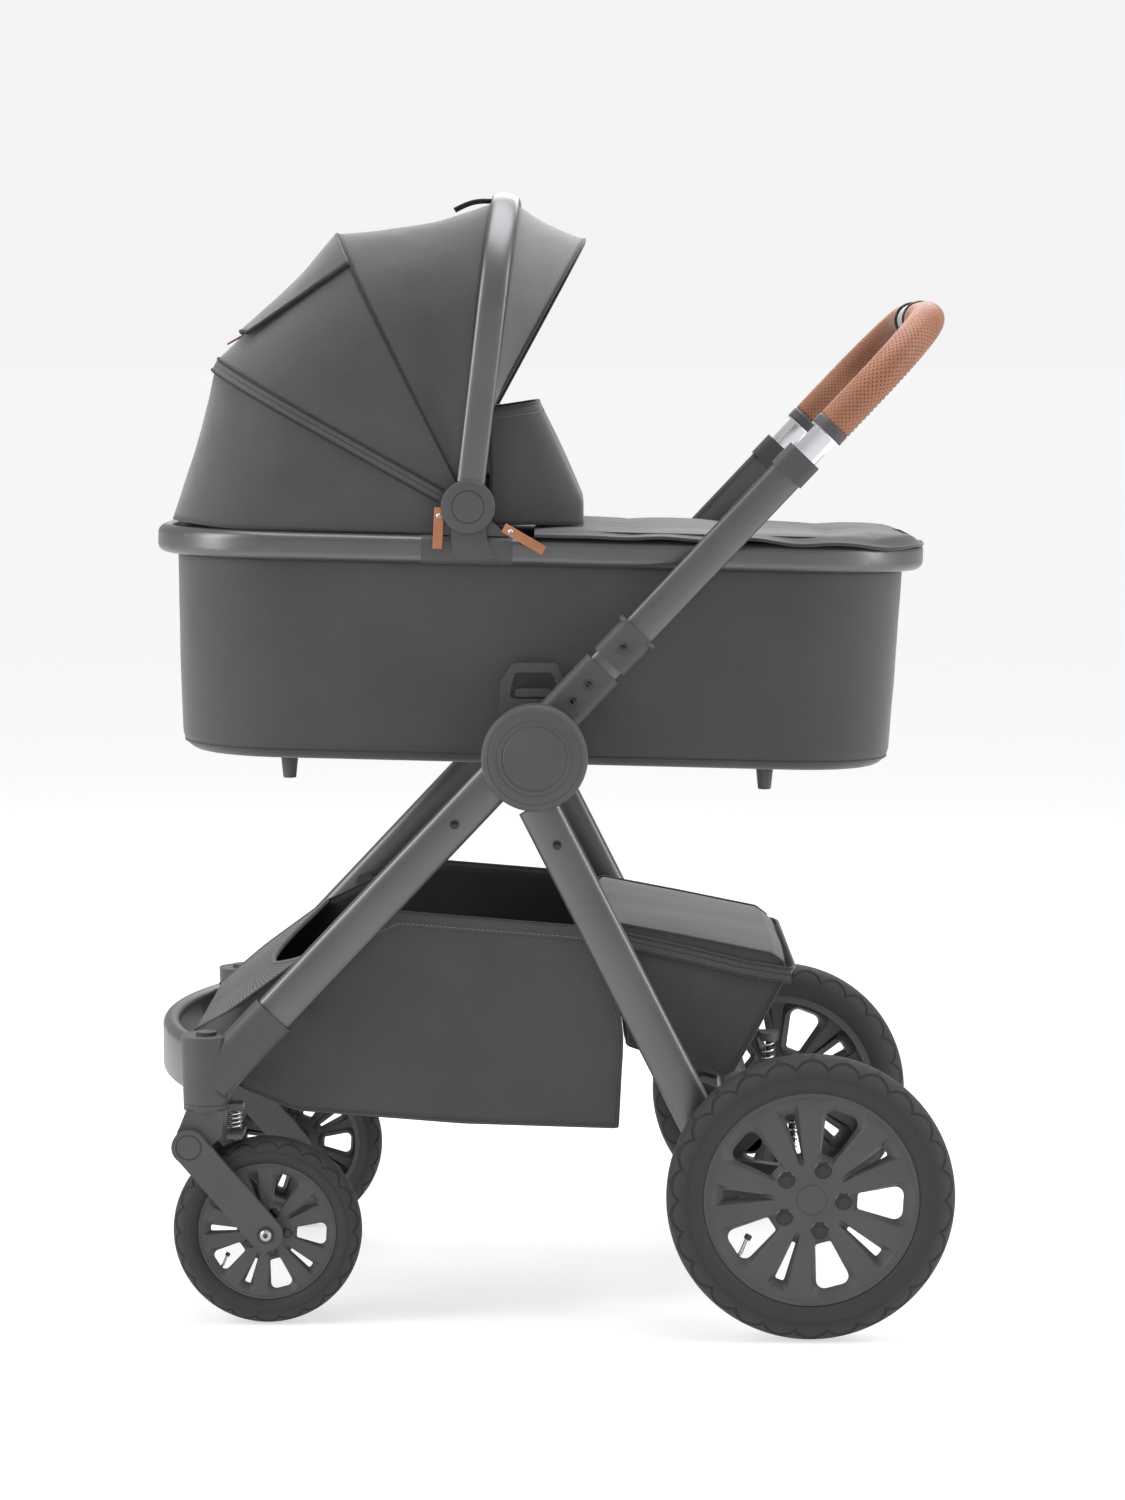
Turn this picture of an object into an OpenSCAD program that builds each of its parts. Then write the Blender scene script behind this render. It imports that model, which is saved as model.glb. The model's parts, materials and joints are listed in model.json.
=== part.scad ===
// Baby stroller with a carrycot, an extending handle and a folding frame.
// X runs from the front wheels to the handle, Y across, Z up. Millimetres.

/* [Wheels] */
// Outer radius of a rear tyre
rear_wheel_r = 140; // [110:1:165]
// Width of a rear tyre
rear_tyre_w = 44; // [30:1:46]
// Outer radius of a front tyre
front_wheel_r = 93; // [75:1:105]
// Width of a front tyre
front_tyre_w = 36; // [26:1:38]
// Distance from the middle of the stroller to the middle of a rear wheel
rear_half_track = 281; // [280:1:320]
// Distance of the rear axle behind the hub
rear_axle_back = 267.3; // [250:0.1:300]
// Distance of the front axle ahead of the hub
front_axle_ahead = 263.8; // [250:0.1:290]

/* [Frame] */
// Height of the hub that joins legs and handle
hub_height = 565; // [540:1:600]
// Width of a leg tube, seen from the side
leg_w = 40; // [30:1:44]
// Thickness of a leg tube across the stroller
leg_t = 20; // [14:1:20]
// Slope of the front legs, measured round the hub
front_leg_angle = 226.7; // [225:0.1:229]
// Slope of the rear legs, measured round the hub
rear_leg_angle = 296.8; // [295:0.1:298]
// Wall of the leg and handle tubes
tube_wall = 1.6; // [1:0.1:3]

/* [Handle] */
// Slope of the handle arms
arm_angle = 46.6; // [44:0.1:50]
// Distance from the hub to the crossbar, handle pushed in
handle_reach = 573; // [560:1:600]
// Width of an arm tube, seen from the side
arm_w = 35; // [30:1:38]
// Radius of the leather grip
grip_r = 17.5; // [14:0.1:19]
// Width of the chromed telescopic tube, seen from the side
slide_w = 27; // [22:1:28]

/* [Carrycot] */
// Overall length of the rail round the carrycot
rail_length = 775; // [740:1:800]
// Overall width of the rail
rail_width = 358; // [350:1:360]
// Height of the rail tube
rail_h = 28; // [22:1:32]
// Depth of the fabric tub below the rail
tub_depth = 200; // [170:1:205]
// Thickness of the mattress
mattress_t = 45; // [20:1:60]

/* [Hood] */
// Radius of the hood bow round its pivot
bow_r = 305.5; // [290:0.1:308]
// Radius of the outer face of the hood fabric
hood_r = 300; // [284:0.1:303]
// Thickness of the hood fabric and its lining
hood_t = 3; // [2:0.1:6]

/* [Hidden] */
$fn = 64;

// Colours
frame_grey = [0.27, 0.27, 0.29];
plastic_grey = [0.30, 0.30, 0.32];
fabric_grey = [0.33, 0.33, 0.34];
dark_fabric = [0.16, 0.16, 0.17];
rubber_black = [0.10, 0.10, 0.10];
leather_tan = [0.66, 0.36, 0.20];
chrome = [0.80, 0.80, 0.82];

// Clearances
side_gap = 0.4;      // between parts that turn beside each other
running = 0.05;      // radial, a pin in its bore
soft_gap = 0.3;      // between fabric and what carries it

// Layers across the stroller, measured from its middle
arm_y = 200;
arm_t = 20;
front_leg_y = 222;
rear_leg_y = 244;
cover_y0 = rear_leg_y + leg_t / 2 + side_gap;
cover_t = 14;

// Hub, the place that everything is measured from
hub = [-11, hub_height];
knuckle_r = 49;
cover_r = 51.5;
pivot_r = 9;
front_leg_offset = -10.4;
rear_leg_offset = -19;
arm_offset = 8;

// Wheels
rear_axle = [hub.x + rear_axle_back, rear_wheel_r];
front_axle = [hub.x - front_axle_ahead, front_wheel_r];
axle_r = 6;
caster_y = 213;
caster_x = front_axle.x - 59;
caster_r = 23;
housing_z0 = 220;
housing_z1 = 287;
yoke_z1 = housing_z0 - side_gap;
swing_pivot = [front_axle.x - 74.8, 180];
fork_t = 8;
fork_in = front_tyre_w / 2 + 3;
spring_x = caster_x + 27;
spring_z0 = 191.6;
spring_z1 = 213.4;

// Rear suspension
rear_pivot = [rear_axle.x - 86, 152];
foot_y1 = rear_leg_y - leg_t / 2;
foot_t = 12;
rear_arm_y1 = foot_y1 - foot_t - side_gap;
rear_arm_t = 14;
shock_y = rear_arm_y1 - rear_arm_t / 2;
shock_x = rear_axle.x - 14.5;
shock_z0 = 158;
shock_z1 = 205;
shock_r = 6.8;

// Handle
grip_bend = 95;
collar_s0 = 114;
collar_s1 = 156;
cap_s0 = 364;
cap_s1 = 390;
grip_s0 = 430;
centre_half = 44;
slide_t = 14;

// Carrycot
cot_tilt = 1.4;
cot_x = -6;
cot_z = 759;
rail_t = 18;
rail_corner = 130;
tub_length = rail_length - 40;
tub_half_w = rail_width / 2 - 9;
tub_wall = 8;
tub_corner = 112;
adapter_y0 = 178.6;
adapter_y1 = arm_y - arm_t / 2 - side_gap;

// Hood
hood_pivot = [-76.4, 803.3];
bow_angle = 83.2;
bow_w = 28;
bow_t = 12;
bow_half_w = 175.5;
mid_rib_angle = 116.3;
rear_rib_angle = 150.7;
hood_half_w = 168;
hood_corner = 112;
rib_d = 5;
rib_r = hood_r - hood_t - rib_d / 2 - soft_gap;
rib_half_w = hood_half_w - hood_t - rib_d / 2 - soft_gap;
rear_rib_step = 5.7;
panel_gap = 0.1;
hood_back_angle = 192;
visor_pivot = [-54, 900];
visor_reach = 186;
visor_angle = 61.4;
visor_half_w = 156;
visor_corner = 100;
visor_t = 2;
visor_foot = 97;

// ---- Small helpers ----
function unit(v) = v / norm(v);
function at(l, i) = l[(i + len(l)) % len(l)];

// Points of an arc that rounds the corner b between a and c
function corner_arc(a, b, c, r, n) =
  let (u = unit(a - b), w = unit(c - b), half = acos(u * w) / 2,
       m = b + unit(u + w) * r / sin(half),
       p = b + u * r / tan(half) - m, q = b + w * r / tan(half) - m,
       a0 = atan2(p.y, p.x), turn = (atan2(q.y, q.x) - a0 + 540) % 360 - 180)
  [for (i = [0:n]) m + r * [cos(a0 + turn * i / n), sin(a0 + turn * i / n)]];
function rounded(pts, r, n = 5) =
  [for (i = [0:len(pts) - 1]) each corner_arc(at(pts, i - 1), pts[i], at(pts, i + 1), r, n)];
function inset(pts, d) =
  [for (i = [0:len(pts) - 1])
    let (u = unit(at(pts, i - 1) - pts[i]), w = unit(at(pts, i + 1) - pts[i]))
    pts[i] + unit(u + w) * d / sin(acos(u * w) / 2)];

module on_side(s) { if (s < 0) mirror([0, 1, 0]) children(); else children(); }
module both_sides() { for (s = [-1, 1]) on_side(s) children(); }

// A flat outline drawn in X and Z, between two distances across the stroller
module slab(y0, y1) { translate([0, y1, 0]) rotate([90, 0, 0]) linear_extrude(y1 - y0) children(); }
module pin(p, r, y0, y1) { slab(y0, y1) translate(p) circle(r); }

// Oval section: t along x, w along y
module oval(w, t) {
  square([t, w - t], center = true);
  for (s = [-1, 1]) translate([0, s * (w - t) / 2]) circle(t / 2);
}
module oval_tube(w, t, wall) { difference() { oval(w, t); oval(w - 2 * wall, t - 2 * wall); } }

// Frame with x along a direction in the XZ plane, y square to it, z across
module along(p, angle, offset = 0) {
  translate([p.x, 0, p.y]) rotate([90, 0, 0]) rotate([0, 0, angle]) translate([0, offset, 0]) children();
}
// In that frame: a bar of the given section from s0 to s1 at the distance y across
module bar(s0, s1, y) { translate([s0, 0, -y]) rotate([0, 90, 0]) linear_extrude(s1 - s0) children(); }

// An arch in the same frame: two legs at +-half_w, rounded corners and a flat top
module arch(reach, half_w, corner, s0) {
  for (s = [-1, 1]) {
    bar(s0, reach - corner, s * half_w) children();
    translate([reach - corner, 0, s * (half_w - corner)]) rotate([90, 0, 0])
      rotate([0, 0, s > 0 ? 0 : 270]) rotate_extrude(angle = 90) translate([corner, 0]) children();
  }
  translate([reach, 0, corner - half_w]) linear_extrude(2 * (half_w - corner)) children();
}

// ---- Wheels ----
module tyre_section(r, w, seat_r) {
  crown = w / 2;
  difference() {
    union() {
      translate([r - crown, 0]) circle(crown);
      polygon([[seat_r, -w * 0.36], [r - crown, -crown], [r - crown, crown], [seat_r, w * 0.36]]);
    }
    square([2 * seat_r, w + 2], center = true);
  }
}
module tyre(p, y, r, w, seat_r) {
  color(rubber_black) translate([p.x, y, p.y]) rotate([90, 0, 0]) rotate_extrude($fn = 96)
    tyre_section(r, w, seat_r);
}
function window(r0, r1, w0, w1, c) = rounded([[r0, -w0 / 2], [r1, -w1 / 2], [r1, w1 / 2], [r0, w0 / 2]], c);
module rim_face(seat_r) {
  k = seat_r / 105;
  difference() {
    circle(seat_r - 1, $fn = 96);
    for (i = [0:4]) rotate(72 * i) polygon(window(41 * k, 88 * k, 17 * k, 37 * k, 6 * k));
    for (i = [0:4]) rotate(72 * i + 36) polygon(window(38 * k, 90 * k, 4 * k, 9 * k, 1.8 * k));
    circle(axle_r + running);
  }
}
module rim(p, y, seat_r, w) {
  k = seat_r / 105;
  color(plastic_grey) {
    difference() {
      union() {
        slab(y - w * 0.34, y + w * 0.34) translate(p) difference() {
          circle(seat_r - 0.2, $fn = 96);
          circle(seat_r - 7 * k, $fn = 96);
        }
        slab(y + w * 0.1, y + w * 0.32) translate(p) rim_face(seat_r);
        pin(p, 20 * k, y - w * 0.34, y + w * 0.34);
      }
      pin(p, axle_r + running, y - w, y + w);
    }
    for (i = [0:4]) slab(y + w * 0.32, y + w * 0.36) translate(p) rotate(72 * i) translate([30 * k, 0])
      circle(6.5 * k, $fn = 6);
  }
}
rear_seat_r = rear_wheel_r - 35;
front_seat_r = front_wheel_r - 24.5;
module rear_tyre(s) { on_side(s) tyre(rear_axle, rear_half_track, rear_wheel_r, rear_tyre_w, rear_seat_r); }
module rear_rim(s) { on_side(s) rim(rear_axle, rear_half_track, rear_seat_r, rear_tyre_w); }
module front_tyre(s) { on_side(s) tyre(front_axle, caster_y, front_wheel_r, front_tyre_w, front_seat_r); }
module front_rim(s) { on_side(s) rim(front_axle, caster_y, front_seat_r, front_tyre_w); }

// ---- Front legs, hub and casters ----
front_leg_s0 = 40;
front_leg_s1 = 395;
module rivets(angle, offset, y, places) {
  color(rubber_black) along(hub, angle, offset) for (s = places)
    translate([s, 0, -y - leg_t / 2 - 2]) cylinder(h = 2 - running, r = 4.2);
}
module front_leg(s) {
  on_side(s) {
    color(frame_grey) along(hub, front_leg_angle, front_leg_offset)
      difference() {
        bar(front_leg_s0, front_leg_s1, front_leg_y) oval_tube(leg_w, leg_t, tube_wall);
        translate([0, -front_leg_offset, -front_leg_y]) cylinder(h = 2 * leg_t, r = knuckle_r + side_gap,
                                                              center = true);
      }
    rivets(front_leg_angle, front_leg_offset, front_leg_y, [103]);
  }
}
module hub_core(s) {
  on_side(s) color(plastic_grey) {
    // Knuckle of the front leg, with a plug into the tube
    difference() {
      union() {
        pin(hub, knuckle_r, front_leg_y - leg_t / 2, front_leg_y + leg_t / 2);
        along(hub, front_leg_angle, front_leg_offset)
          bar(20, 90, front_leg_y) oval(leg_w - 2 * tube_wall - 2 * running, leg_t - 2 * tube_wall - 2 * running);
      }
      pin(hub, pivot_r - 1, front_leg_y - leg_t, front_leg_y + leg_t);
    }
    // Pivot that carries the handle and the rear leg
    pin(hub, pivot_r - 1, adapter_y1 - 1, cover_y0);
    // Cup that the carrycot plugs into
    difference() {
      slab(adapter_y0, adapter_y1) translate(hub) polygon(rounded([[-26, -26], [26, -26], [26, 28], [-26, 28]], 8));
      translate([hub.x - 18, adapter_y0 + 2.4, hub.y - 18]) cube([36, 5.6, 60]);
    }
  }
}
module hub_covers() {
  both_sides() color(plastic_grey) {
    difference() {
      union() {
        pin(hub, cover_r, cover_y0, cover_y0 + cover_t - 2);
        translate([hub.x, cover_y0 + cover_t - 2, hub.y]) rotate([-90, 0, 0])
          cylinder(h = 2, r1 = cover_r, r2 = cover_r - 3);
      }
      slab(cover_y0 + cover_t - 1, cover_y0 + cover_t + 1) translate(hub) difference() {
        circle(46);
        circle(45);
      }
      slab(cover_y0 + cover_t - 1, cover_y0 + cover_t + 1) translate(hub) difference() {
        circle(36.5);
        circle(31.5);
      }
    }
  }
}
module caster_housing(s) {
  on_side(s) color(plastic_grey) difference() {
    union() {
      translate([caster_x, caster_y, housing_z0]) cylinder(h = housing_z1 - housing_z0, r1 = caster_r,
                                                           r2 = caster_r + 2);
      intersection() {
        along(hub, front_leg_angle, front_leg_offset)
          bar(front_leg_s1 - 33, front_leg_s1 + 58, front_leg_y) oval(leg_w + 5, leg_t + 5);
        translate([caster_x - caster_r, 0, housing_z0 + 1]) cube([300, 300, 300]);
      }
    }
    along(hub, front_leg_angle, front_leg_offset) bar(0, front_leg_s1, front_leg_y) oval(leg_w, leg_t);
    // Bore for the stem of the yoke
    translate([caster_x, caster_y, housing_z0 - 1]) cylinder(h = 45, r = 7 + running);
    // Seat of the lock
    translate([caster_x, caster_y, housing_z1 - 12]) cylinder(h = 20, r = 7 + running);
    // Seat of the bumper
    front_bumper_shape();
  }
}
bumper_tip = hub.x - 385.2;
bumper_sag = 51;
bumper_half = caster_y - caster_r + 6;
bumper_arc_r = (bumper_half * bumper_half + bumper_sag * bumper_sag) / (2 * bumper_sag);
bumper_h = 56;
module front_bumper_shape() {
  sweep = 2 * asin(bumper_half / bumper_arc_r);
  translate([bumper_tip + bumper_arc_r, 0, housing_z0 + 1 + bumper_h / 2]) rotate([0, 0, 180 - sweep / 2])
    rotate_extrude(angle = sweep, $fn = 128) translate([bumper_arc_r - 9, 0]) oval(bumper_h, 18);
}
module front_bumper() { color(frame_grey) front_bumper_shape(); }

module yoke(s) {
  on_side(s) color(plastic_grey) {
    difference() {
      union() {
        translate([caster_x, caster_y, yoke_z1 - 6]) cylinder(h = 6, r = caster_r);
        translate([caster_x, caster_y, yoke_z1]) cylinder(h = 40, r = 7);
        slab(caster_y - fork_in + side_gap, caster_y + fork_in - side_gap)
          polygon([[caster_x - caster_r + 4, yoke_z1 - 5], [caster_x + caster_r - 4, yoke_z1 - 5],
                   [caster_x + 16, swing_pivot.y + 10], [swing_pivot.x + 14, swing_pivot.y - 8],
                   [swing_pivot.x - 14, swing_pivot.y - 4], [swing_pivot.x - 14, swing_pivot.y + 8]]);
        pin(swing_pivot, 16, caster_y - fork_in + side_gap, caster_y + fork_in - side_gap);
        // Upper seat of the spring
        slab(caster_y - 10, caster_y + 10) translate([caster_x, spring_z1])
          square([spring_x - caster_x + 9, yoke_z1 - spring_z1]);
      }
      pin(swing_pivot, 5 + running, caster_y - 40, caster_y + 40);
      wheel_clear(front_axle, front_wheel_r + 4);
    }
  }
}
module wheel_clear(p, r) { pin(p, r, caster_y - 25, caster_y + 25); }
fork_vec = front_axle - swing_pivot;
fork_len = norm(fork_vec);
fork_angle = atan2(fork_vec.y, fork_vec.x);
module fork(s) {
  on_side(s) {
    color(plastic_grey) {
      for (k = [-1, 1]) translate([0, caster_y + k * (fork_in + fork_t / 2), 0])
        slab(-fork_t / 2, fork_t / 2) translate(swing_pivot) rotate(fork_angle) {
          circle(17);
          translate([0, -16.5]) square([fork_len, 33]);
          translate([fork_len, 0]) circle(16.5);
        }
      pin(swing_pivot, 5, caster_y - fork_in - fork_t / 2, caster_y + fork_in + fork_t / 2);
      // Web over the wheel, the lower seat of the spring
      translate([spring_x - 5.5, caster_y - fork_in - fork_t / 2, spring_z0 - 4]) cube([15, 2 * fork_in + fork_t, 3.9]);
    }
    color(chrome) {
      pin(front_axle, axle_r, caster_y - fork_in - fork_t / 2, caster_y + fork_in + fork_t / 2);
      pin(front_axle, 6.5, caster_y + fork_in + fork_t, caster_y + fork_in + fork_t + 2.5);
    }
  }
}
// Coil spring between the yoke and the fork
spring_r = 7;
spring_wire = 1.5;
spring_turns = 4;
module spring(s) {
  h = spring_z1 - spring_z0 - 0.2;
  pitch = h / (spring_turns + 0.5);
  on_side(s) color(chrome) translate([spring_x, caster_y, spring_z0 + 0.1])
    difference() {
      cylinder(h = h, r = spring_r);
      translate([0, 0, -1]) cylinder(h = h + 2, r = spring_r - 2 * spring_wire);
      for (i = [0:spring_turns - 1]) translate([0, 0, pitch * (i + 0.5)]) difference() {
        cylinder(h = pitch / 2, r = spring_r + 1);
        translate([0, 0, -1]) cylinder(h = pitch, r = spring_r - spring_wire);
      }
    }
}
module caster_lock(s) {
  on_side(s) color(plastic_grey) translate([caster_x, caster_y, housing_z1 - 11]) {
    cylinder(h = 13, r = 7);
    translate([0, 0, 11.4]) cylinder(h = 3, r = 10);
  }
}

// ---- Rear frame ----
rear_leg_s0 = 44;
rear_leg_s1 = 418;
module rear_leg(s) {
  on_side(s) {
    color(frame_grey) along(hub, rear_leg_angle, rear_leg_offset)
      difference() {
        bar(rear_leg_s0, rear_leg_s1, rear_leg_y) oval_tube(leg_w, leg_t, tube_wall);
        translate([0, -rear_leg_offset, -rear_leg_y]) cylinder(h = 2 * leg_t, r = knuckle_r + side_gap,
                                                             center = true);
      }
    color(plastic_grey) difference() {
      union() {
        pin(hub, knuckle_r, rear_leg_y - leg_t / 2, rear_leg_y + leg_t / 2);
        along(hub, rear_leg_angle, rear_leg_offset)
          bar(20, 95, rear_leg_y) oval(leg_w - 2 * tube_wall - 2 * running, leg_t - 2 * tube_wall - 2 * running);
      }
      pin(hub, pivot_r - 1 + running, rear_leg_y - leg_t, rear_leg_y + leg_t);
    }
    rivets(rear_leg_angle, rear_leg_offset, rear_leg_y, [86]);
  }
}
function leg_point(s) =
  hub + s * [cos(rear_leg_angle), sin(rear_leg_angle)]
      + rear_leg_offset * [-sin(rear_leg_angle), cos(rear_leg_angle)];
module rear_feet() {
  heel = leg_point(rear_leg_s1);
  shin = leg_point(rear_leg_s1 - 60);
  both_sides() color(plastic_grey) difference() {
    union() {
      slab(foot_y1 - foot_t, foot_y1)
        polygon([shin + [-16, 0], shin + [16, 8], [shock_x - 14, shock_z1 + 9], [shock_x + 12, shock_z1 + 9],
                 [shock_x + 12, shock_z1 + 1], [shock_x - 14, shock_z1 + 1], [rear_pivot.x + 16, rear_pivot.y + 14],
                 [rear_pivot.x + 14, rear_pivot.y - 14], [rear_pivot.x - 14, rear_pivot.y - 14],
                 heel + [-20, 6]]);
      // Seat of the shock absorber
      translate([shock_x, shock_y, shock_z1 + 0.2]) cylinder(h = 8.8, r = shock_r + 3);
      translate([shock_x - shock_r - 3, shock_y, shock_z1 + 1]) cube([2 * shock_r + 6, foot_y1 - foot_t - shock_y, 8]);
    }
    pin(rear_pivot, 6 + running, foot_y1 - foot_t - 30, foot_y1 + 1);
  }
}
crossbar_at = hub + 437 * [cos(-61), sin(-61)];
crossbar_r = 13;
module rear_crossbar() {
  color(frame_grey) difference() {
    pin(crossbar_at, crossbar_r, -foot_y1 + foot_t, foot_y1 - foot_t);
    pin(crossbar_at, crossbar_r - 2, -foot_y1 + foot_t - 1, foot_y1 - foot_t + 1);
  }
  // Housing of the brake
  color(plastic_grey) slab(-48, 48) difference() {
    translate(crossbar_at) polygon(rounded([[-22, -18], [20, -18], [20, 20], [-22, 20]], 7));
    translate(crossbar_at) circle(crossbar_r);
  }
}
pedal_pivot = crossbar_at + [28, 8];
module brake_pedal() {
  color(plastic_grey) slab(-36, 36) translate(pedal_pivot) {
    circle(7.6);
    polygon([[0, -6], [42, 7], [42, 13], [0, 7]]);
  }
}
module rear_arm(s) {
  on_side(s) color(plastic_grey) {
    difference() {
      slab(rear_arm_y1 - rear_arm_t, rear_arm_y1) {
        translate(rear_pivot) circle(14);
        polygon([rear_pivot + [0, -13], [rear_axle.x, rear_axle.y - 15], [rear_axle.x, rear_axle.y + 15],
                 [shock_x - 12, shock_z0], rear_pivot + [0, 13]]);
        translate(rear_axle) circle(15);
      }
      pin(rear_axle, axle_r, rear_arm_y1 - rear_arm_t - 1, rear_arm_y1 + 1);
      translate([shock_x - shock_r - 1, rear_arm_y1 - rear_arm_t - 1, shock_z0 - 0.2]) cube([60, rear_arm_t + 2, 40]);
    }
    pin(rear_pivot, 6, rear_arm_y1, foot_y1 - 0.2);
    // Stub axle that the wheel runs on
    pin(rear_axle, axle_r, rear_arm_y1 - rear_arm_t, rear_half_track + rear_tyre_w * 0.34 - 1);
  }
}
module shock(s) {
  on_side(s) color(chrome) translate([shock_x, shock_y, shock_z0 + 0.1]) {
    cylinder(h = shock_z1 - shock_z0 - 0.1, r = shock_r - 2);
    for (i = [0:6]) translate([0, 0, 2 + i * 6]) cylinder(h = 3, r = shock_r);
  }
}

// ---- Basket and rear bag, points measured from the hub ----
basket_outline = [[-341, -286], [-229, -204], [-134, -158], [36, -172], [60, -175], [87, -283],
                  [82, -373], [-72, -368], [-236, -355], [-288, -333]];
basket_half_w = 204;
basket_wall = 4;
// The front corners are cut back beside the casters
module basket_block(outline, d) {
  intersection() {
    slab(-basket_half_w + d, basket_half_w - d) translate(hub) polygon(outline);
    translate([hub.x, 0, 0]) linear_extrude(hub_height)
      polygon([[-400, -76 + 1.5 * d], [-282 + d / 2, -basket_half_w], [200, -basket_half_w],
               [200, basket_half_w], [-282 + d / 2, basket_half_w], [-400, 76 - 1.5 * d]]);
  }
}
module basket() {
  inner = inset(basket_outline, basket_wall);
  mouth = [for (i = [0:len(inner) - 1]) i >= 1 && i <= 4 ? inner[i] + [0, 60] : inner[i]];
  color(fabric_grey) difference() {
    basket_block(basket_outline, 0);
    basket_block(mouth, basket_wall);
    // Low front edge of the mesh panel
    slab(-basket_half_w + 40, basket_half_w - 40) translate(hub) polygon([[-262, -180], [-262, -232], [-226, -160]]);
  }
  // Tabs on the inner faces of the front legs
  color(plastic_grey) both_sides() along(hub, front_leg_angle, front_leg_offset) for (s = [262, 340])
    translate([s, 0, soft_gap - front_leg_y + leg_t / 2]) cylinder(h = 9, r = 10);
}
bag_outline = [[60.4, -174.9], [66, -168], [241, -202], [253, -211], [255, -225], [200, -327], [190, -333],
               [92, -300], [86.5, -299], [87.4, -283]];
bag_half_w = 168;
module rear_bag() { color(fabric_grey) slab(-bag_half_w, bag_half_w) translate(hub) polygon(bag_outline); }

// ---- Handle ----
module arm_frame() { along(hub, arm_angle, arm_offset) children(); }
module arm_sockets() {
  both_sides() {
    color(plastic_grey) difference() {
      union() {
        pin(hub, knuckle_r - 2, arm_y - arm_t / 2, arm_y + arm_t / 2);
        arm_frame() bar(10, 105, arm_y) oval(arm_w + 7, arm_t - 0.4);
      }
      arm_frame() bar(60, 120, arm_y) oval(arm_w - 1, arm_t - 4);
      pin(hub, pivot_r - 1 + running, arm_y - arm_t, arm_y + arm_t);
    }
    color(rubber_black) arm_frame() for (s = [63, 85]) translate([s, 0, -arm_y - arm_t / 2 - 1.8])
      cylinder(h = 1.8, r = 4.4);
  }
}
module arm_tubes() {
  both_sides() color(frame_grey) arm_frame() difference() {
    bar(60, 366, arm_y) oval(arm_w - 1, arm_t - 4);
    bar(59, 367, arm_y) oval(slide_w + 2 * running, slide_t + 2 * running);
  }
}
module arm_collars() {
  both_sides() {
    color(plastic_grey) arm_frame() {
      difference() {
        union() {
          bar(collar_s0, collar_s1, arm_y) oval(arm_w + 5, arm_t);
          bar(collar_s1 - 4, collar_s1, arm_y) oval(arm_w + 11, arm_t);
        }
        bar(collar_s0 - 1, collar_s1 + 1, arm_y) oval(arm_w - 1, arm_t - 4);
      }
      difference() {
        bar(cap_s0, cap_s1, arm_y) oval(arm_w + 3, arm_t);
        bar(cap_s0 - 1, 366, arm_y) oval(arm_w - 1, arm_t - 4);
        bar(cap_s0 - 1, cap_s1 + 1, arm_y) oval(slide_w + 2 * running, slide_t + 2 * running);
      }
    }
    color(rubber_black) arm_frame() translate([134, 0, -arm_y - arm_t / 2 - 1.8]) cylinder(h = 1.8, r = 5);
  }
}
module slider_tubes() {
  both_sides() arm_frame() {
    color(chrome) difference() {
      bar(190, grip_s0 - 12, arm_y) oval(slide_w, slide_t);
      bar(189, grip_s0 - 11, arm_y) oval(slide_w - 3, slide_t - 3);
    }
    color(plastic_grey) bar(grip_s0 - 12, grip_s0, arm_y) circle(grip_r);
  }
}
module grip_leather() {
  color(leather_tan) arm_frame() difference() {
    arch(handle_reach, arm_y, grip_bend, grip_s0) circle(grip_r);
    translate([handle_reach - 60, -60, -centre_half]) cube([120, 120, 2 * centre_half]);
  }
}
module grip_centre() {
  color(plastic_grey) arm_frame() difference() {
    translate([handle_reach, 0, -centre_half]) cylinder(h = 2 * centre_half, r = grip_r - 1);
    translate([handle_reach, -grip_r - 1, 0]) rotate([-90, 0, 0]) cylinder(h = 9, r = 10 + running);
  }
}
module fold_button() {
  color(rubber_black) arm_frame() translate([handle_reach, -grip_r - 1.5, 0]) rotate([-90, 0, 0])
    cylinder(h = 5.5, r = 10);
}

// ---- Carrycot, built level and then tilted about its middle ----
module cot() { translate([cot_x, 0, cot_z]) rotate([0, cot_tilt, 0]) children(); }
module plan(length, half_w, corner) {
  square([length, 2 * (half_w - corner)], center = true);
  square([length - 2 * corner, 2 * half_w], center = true);
  for (i = [-1, 1], j = [-1, 1]) translate([i * (length / 2 - corner), j * (half_w - corner)]) circle(corner);
}
module cot_rail() {
  l = rail_length / 2 - rail_t / 2;
  w = rail_width / 2 - rail_t / 2;
  c = rail_corner;
  color(frame_grey) cot() {
    for (s = [-1, 1]) {
      translate([c - l, s * w, 0]) rotate([0, 90, 0]) rotate([0, 0, 90]) linear_extrude(2 * (l - c)) oval(rail_h, rail_t);
      translate([s * l, c - w, 0]) rotate([-90, 0, 0]) linear_extrude(2 * (w - c)) oval(rail_h, rail_t);
    }
    for (i = [0:3]) translate([(i == 0 || i == 3 ? 1 : -1) * (l - c), (i < 2 ? 1 : -1) * (w - c), 0])
      rotate([0, 0, 90 * i]) rotate_extrude(angle = 90, $fn = 96) translate([c, 0]) oval(rail_h, rail_t);
  }
}
tub_top = -rail_h / 2 + 2;
module cot_tub() {
  color(fabric_grey) cot() translate([0, 0, tub_top - tub_depth]) difference() {
    linear_extrude(tub_depth) plan(tub_length, tub_half_w, tub_corner);
    translate([0, 0, 12]) linear_extrude(tub_depth) plan(tub_length - 2 * tub_wall, tub_half_w - tub_wall,
                                                         tub_corner - tub_wall);
    cot_rail_ring();
  }
}
module cot_rail_ring() {
  translate([0, 0, tub_depth - tub_top - rail_h / 2 - soft_gap]) linear_extrude(rail_h) difference() {
    plan(rail_length + 10, rail_width / 2 + 5, rail_corner + 5);
    plan(rail_length - 2 * rail_t - 1, rail_width / 2 - rail_t - 0.5, rail_corner - rail_t / 2 - 0.5);
  }
}
foot_h = 23;
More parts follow.
